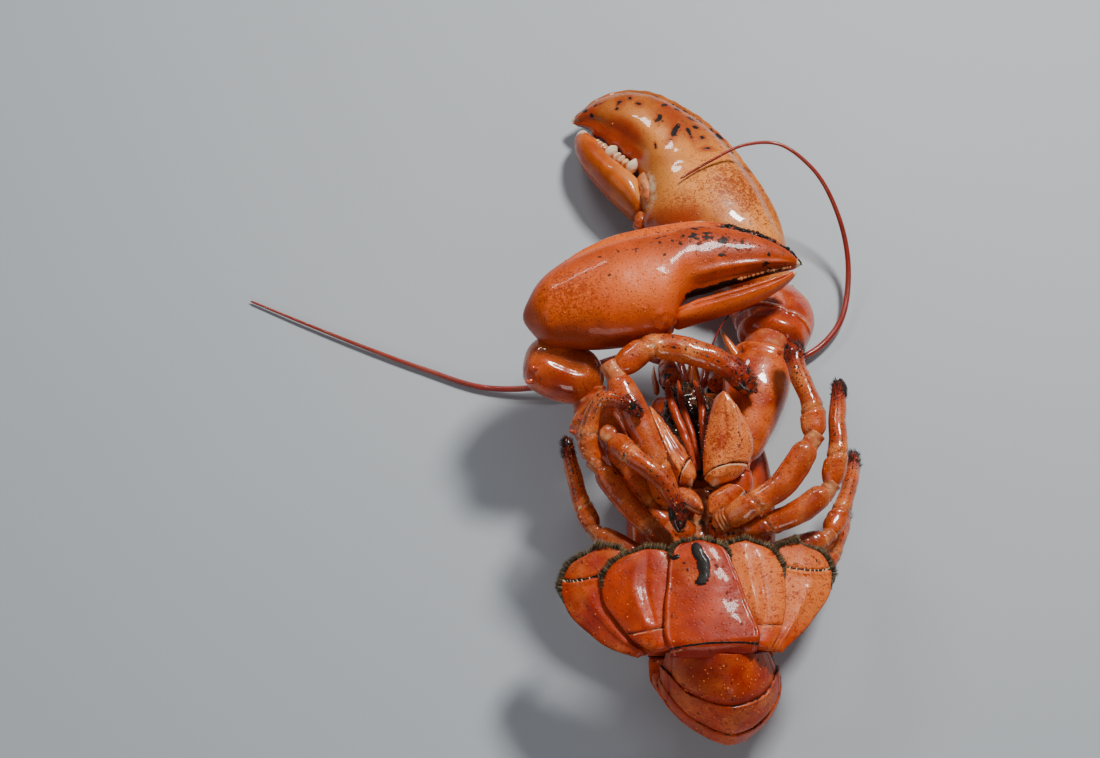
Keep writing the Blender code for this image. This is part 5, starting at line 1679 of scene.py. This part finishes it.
def head():
    """Feeler bases, flat feeler scales, stalked eyes and the small forked feelers."""
    for side, x in (("right", -1), ("left", 1)):
        base = tube(((9 * x, 59.5, 26), (10.5 * x, 67, 22), (11.5 * x, 74.5, 18.5)),
                    ((0, 4.6), (0.5, 4.6), (1, 3.0)), ((0, 4.4), (0.5, 4.4), (1, 3.0)), 90, 56,
                    ends=(0.1, 0.1))
        joint = hill(base.t, 0.36, 0.02)
        base.lift(-0.5 * joint - 0.5 * hill(base.t, 0.68, 0.02) + 0.3 * hill(base.t, 0.32, 0.02))
        base.roughen(3, 0.25, x)
        base.paint(light=0.4 + 0.5 * rolling(base.points, 4, 2.0) + 0.5 * joint, worms=0.4)
        base.mottle(black=(0.3, 0.5, 1.6, 4.0))
        name = f"feeler_base_{side}"
        Bundle().skin(base).make(name + "_shell", "shell_red", "leg_shell", name)
        scale = tube(((15.5 * x, 60, 21), (16.5 * x, 66, 18.5), (16.5 * x, 73, 16)),
                     ((0, 1.2), (0.5, 1.1), (1, 0.6)), ((0, 3.2), (0.4, 4.5), (1, 1.2)), 60, 44,
                     ends=(0.08, 0.08))
        scale.roughen(3, 0.15, x)
        scale.mottle(light=(0.5, 0.5, 4, 6.0))
        scale.paint(worms=0.3)
        turn = 1.5 * pi + np.linspace(-0.3, 0.3, 160) % 0.13
        foot, out = on_skin(scale, np.linspace(0.2, 0.97, 160), turn, 0.1)
        piece = Bundle().skin(scale).hairs(foot, unit(out + [0, 0.7, 0]), 1.7, 0.06, 0.2, {"deep": 1.0})
        name = f"feeler_scale_{side}"
        piece.make(name + "_shell", "shell_red", "leg_shell", name)
        eye = tube(((7.8 * x, 62.0, 8.5), (9.2 * x, 68.6, 8.5)), ((0, 3.3), (1, 3.3)), None, 56, 48,
                   ends=(0.5, 0.5))
        Bundle().skin(eye.rested()).make(f"eye_{side}_ball", "eye_black", "eye_shell", f"eye_{side}")
        stalk = tube(((5.5 * x, 57, 10), (7.6 * x, 61.5, 9.0), (8.1 * x, 63.6, 8.6)),
                     ((0, 2.2), (1, 2.9)), None, 40, 36, ends=(0.1, 0.3))
        stalk.mottle(light=(0.4, 0.4, 3, 2.0))
        Bundle().skin(stalk).make(f"eye_{side}_stalk", "shell_red", "leg_shell")
        small = tube(((3.4 * x, 62.5, 18.5), (5 * x, 72, 17), (11 * x, 92, 11), (20 * x, 108, 4)),
                     ((0, 2.0), (0.25, 1.5), (0.4, 0.7), (1, 0.35)), None, 260, 14)
        rings = 0.5 + 0.5 * np.sin(small.t * 150 * pi)
        small.lift(0.08 * rings * smooth(small.t, 0.3, 0.45))
        small.paint(light=0.6 * smooth(small.t, 0.35, 0.2))
        name = f"small_feeler_{side}"
        Bundle().skin(small).make(name + "_whip", "feeler_red", "feeler_shell", name)


def feelers():
    """The long whip-like feelers: thick at the head, fine at the tip, ringed all along."""
    root, tip = sizes().feeler_root / MM, sizes().feeler_tip / MM
    size = ((0, root), (0.4, 0.25 * tip + 0.66 * root), (1, tip))
    for side, route in FEELER_ROUTES.items():
        whip = tube(route, size, None, 1500, 12, ends=(0.004, 0.01), even=1.0)
        sunk = 0.1 + curve(size, whip.t[:, 0])[:, 0] - whip.points.mean(axis=1)[:, 2]
        whip.points[..., 2] += np.maximum(sunk, 0)[:, None]
        groove = 1 - np.abs(np.sin(whip.t * 190 * pi))
        whip.lift(-0.14 * groove ** 3 * (1.2 - 0.7 * whip.t))
        whip.paint(deep=0.8 * groove ** 2)
        whip.paint(light=0.25 + 0.4 * rolling(whip.points, 12, 1.0) + 0.35 * smooth(whip.t, 0.08, 0.0))
        base = spine_through(route, np.array([0.0, 0.02, 0.045]))
        knob = tube(base, ((0, 3.0), (0.5, 2.7), (1, 1.9)), None, 50, 36, ends=(0.2, 0.15))
        knob.paint(light=0.5)
        name = f"feeler_{side}"
        Bundle().skin(whip).skin(knob).make(name + "_whip", "feeler_red", "feeler_shell", name)


# --- the stage ------------------------------------------------------------------------------------

def floor_material():
    """A plain pale matt surface with a barely seen mottle."""
    made = bpy.data.materials.new("pale_floor")
    made.use_nodes = True
    n = Nodes(made.node_tree)
    shader = made.node_tree.nodes["Principled BSDF"]
    place = n.add("ShaderNodeTexCoord").outputs["Object"]
    cloud = n.noise(6.0, 2.0, 0.0, place)
    pale = np.array(studio().floor)
    n.tree.links.new(n.mix(cloud, (*0.97 * pale, 1), (*1.03 * pale, 1)), shader.inputs["Base Color"])
    shader.inputs["Roughness"].default_value = 0.7
    return made


def linked(name, data):
    """A new object with that data, in the scene."""
    made = bpy.data.objects.new(name, data)
    bpy.context.scene.collection.objects.link(made)
    return made


def aimed(piece, place, ahead):
    """Puts a light or the camera in its place, looking ahead."""
    piece.location = place
    piece.rotation_euler = Vector(ahead).to_track_quat("-Z", "Y").to_euler()


def area_light(name, middle, aside, size, power, colour=(1, 1, 1)):
    """A rectangular light, so far aside of the middle of the animal and aimed at it."""
    lamp = bpy.data.lights.new(name, "AREA")
    lamp.shape = "RECTANGLE"
    lamp.size, lamp.size_y = size
    lamp.energy = power
    lamp.color = colour
    place = middle + aside
    aimed(linked(name, lamp), place, middle - place)


def stage():
    """The floor, a dim sky, four soft lights, and the camera that looks down on the animal."""
    mesh = bpy.data.meshes.new("floor")
    reach = 3.0
    corners = [(-reach, -reach, 0), (reach, -reach, 0), (reach, reach, 0), (-reach, reach, 0)]
    mesh.from_pydata(corners, [], [(0, 1, 2, 3)])
    mesh.materials.append(floor_material())
    floor = linked("floor", mesh)
    world = bpy.data.worlds.new("soft_studio")
    world.use_nodes = True
    background = world.node_tree.nodes["Background"]
    background.inputs["Color"].default_value = (0.80, 0.88, 1.0, 1)
    background.inputs["Strength"].default_value = 0.10
    bpy.context.scene.world = world

    middle = (np.array(CAD_BOX[0]) + np.array(CAD_BOX[1])) / 2
    area_light("key", middle, [0.35, 0.45, 0.75], (0.16, 0.16), studio().key_power, (1.0, 0.97, 0.93))
    area_light("fill", middle, [-0.8, -0.35, 0.7], (0.7, 0.7), 1.3, (0.92, 0.96, 1.0))
    area_light("window", middle, [-0.25, 0.7, 0.6], (0.30, 0.06), 1.6)
    area_light("front", middle, [0.15, -0.95, 0.42], (0.5, 0.3), 2.0, (1.0, 0.96, 0.92))

    camera = bpy.data.cameras.new("camera")
    camera.lens = 70
    tilt = studio().camera_tilt
    back = Vector((0, -cos(tilt), sin(tilt)))
    made = linked("camera", camera)
    aimed(made, Vector(middle.tolist()) + back * studio().camera_distance, -back)
    bpy.context.scene.camera = made


# --- operators and panel --------------------------------------------------------------------------

class LOBSTER_OT_back_shield(bpy.types.Operator):
    """Make the back shield, with its side rims and the head's spike."""

    bl_idname = "lobster.back_shield"
    bl_label = "Back Shield"

    def execute(self, context):
        body()
        return {"FINISHED"}


class LOBSTER_OT_underside(bpy.types.Operator):
    """Make the ridged plates and the soft skin between the legs."""

    bl_idname = "lobster.underside"
    bl_label = "Underside"

    def execute(self, context):
        underside()
        return {"FINISHED"}


class LOBSTER_OT_tail_rings(bpy.types.Operator):
    """Make the six rings of the curled tail."""

    bl_idname = "lobster.tail_rings"
    bl_label = "Tail Rings"

    def execute(self, context):
        tail_rings()
        return {"FINISHED"}


class LOBSTER_OT_tail_fan(bpy.types.Operator):
    """Make the tail's five blades and their fringe of bristles."""

    bl_idname = "lobster.tail_fan"
    bl_label = "Tail Fan"

    def execute(self, context):
        tail_fan()
        return {"FINISHED"}


class LOBSTER_OT_heavy_claw(bpy.types.Operator):
    """Make the heavy claw's palm, thumb, teeth and hinge."""

    bl_idname = "lobster.heavy_claw"
    bl_label = "Heavy Claw"

    def execute(self, context):
        crusher_claw()
        return {"FINISHED"}


class LOBSTER_OT_slender_claw(bpy.types.Operator):
    """Make the slender claw's palm, thumb and teeth."""

    bl_idname = "lobster.slender_claw"
    bl_label = "Slender Claw"

    def execute(self, context):
        cutter_claw()
        return {"FINISHED"}


class LOBSTER_OT_claw_arms(bpy.types.Operator):
    """Make the joints of both claws' arms and the soft skin between them."""

    bl_idname = "lobster.claw_arms"
    bl_label = "Claw Arms"

    def execute(self, context):
        arms()
        return {"FINISHED"}


class LOBSTER_OT_walking_legs(bpy.types.Operator):
    """Make the eight walking legs with their hairs and hip joints."""

    bl_idname = "lobster.walking_legs"
    bl_label = "Walking Legs"

    def execute(self, context):
        for side in LEGS:
            walking_leg(side)
        leg_bases()
        return {"FINISHED"}


class LOBSTER_OT_jaw_legs(bpy.types.Operator):
    """Make the two leaf-shaped jaw legs and their roots."""

    bl_idname = "lobster.jaw_legs"
    bl_label = "Jaw Legs"

    def execute(self, context):
        jaw_legs()
        return {"FINISHED"}


class LOBSTER_OT_mouth(bpy.types.Operator):
    """Make the dark field of small mouthparts."""

    bl_idname = "lobster.mouth"
    bl_label = "Mouth"

    def execute(self, context):
        mouthparts()
        return {"FINISHED"}


class LOBSTER_OT_head(bpy.types.Operator):
    """Make the feeler bases, scales, eyes and small feelers."""

    bl_idname = "lobster.head"
    bl_label = "Head"

    def execute(self, context):
        head()
        return {"FINISHED"}


class LOBSTER_OT_feelers(bpy.types.Operator):
    """Make the two long whip-like feelers."""

    bl_idname = "lobster.feelers"
    bl_label = "Feelers"

    def execute(self, context):
        feelers()
        return {"FINISHED"}


class LOBSTER_OT_stage(bpy.types.Operator):
    """Make the floor, the lights and the camera."""

    bl_idname = "lobster.stage"
    bl_label = "Stage"

    def execute(self, context):
        stage()
        return {"FINISHED"}


OPERATORS = (
    LOBSTER_OT_back_shield,
    LOBSTER_OT_underside,
    LOBSTER_OT_tail_rings,
    LOBSTER_OT_tail_fan,
    LOBSTER_OT_heavy_claw,
    LOBSTER_OT_slender_claw,
    LOBSTER_OT_claw_arms,
    LOBSTER_OT_walking_legs,
    LOBSTER_OT_jaw_legs,
    LOBSTER_OT_mouth,
    LOBSTER_OT_head,
    LOBSTER_OT_feelers,
    LOBSTER_OT_stage,
)


class LOBSTER_PT_pieces(bpy.types.Panel):
    """The lobster's colours, sizes and pieces, in the order in which they are made."""

    bl_label = "Cooked Lobster"
    bl_space_type = "VIEW_3D"
    bl_region_type = "UI"
    bl_category = "Lobster"

    def draw(self, context):
        """Lays out every setting, then a button for each operator."""
        for settings in (colours(), sizes(), studio()):
            column = self.layout.column()
            for name in settings.__annotations__:
                column.prop(settings, name)
        buttons = self.layout.column()
        for operator in OPERATORS:
            buttons.operator(operator.bl_idname)


CLASSES = (ShellColours, ShellSizes, StudioSettings, *OPERATORS, LOBSTER_PT_pieces)


def register():
    """Registers the classes and the settings they keep in a scene."""
    for cls in CLASSES:
        bpy.utils.register_class(cls)
    bpy.types.Scene.lobster_colours = PointerProperty(type=ShellColours)
    bpy.types.Scene.lobster_sizes = PointerProperty(type=ShellSizes)
    bpy.types.Scene.lobster_studio = PointerProperty(type=StudioSettings)


def unregister():
    """Takes the settings and the classes away again."""
    del bpy.types.Scene.lobster_studio
    del bpy.types.Scene.lobster_sizes
    del bpy.types.Scene.lobster_colours
    for cls in reversed(CLASSES):
        bpy.utils.unregister_class(cls)


def main():
    """Makes every piece and the stage through its operator."""
    register()
    for operator in OPERATORS:
        group, name = operator.bl_idname.split(".")
        getattr(getattr(bpy.ops, group), name)()


if __name__ == "__main__":
    main()
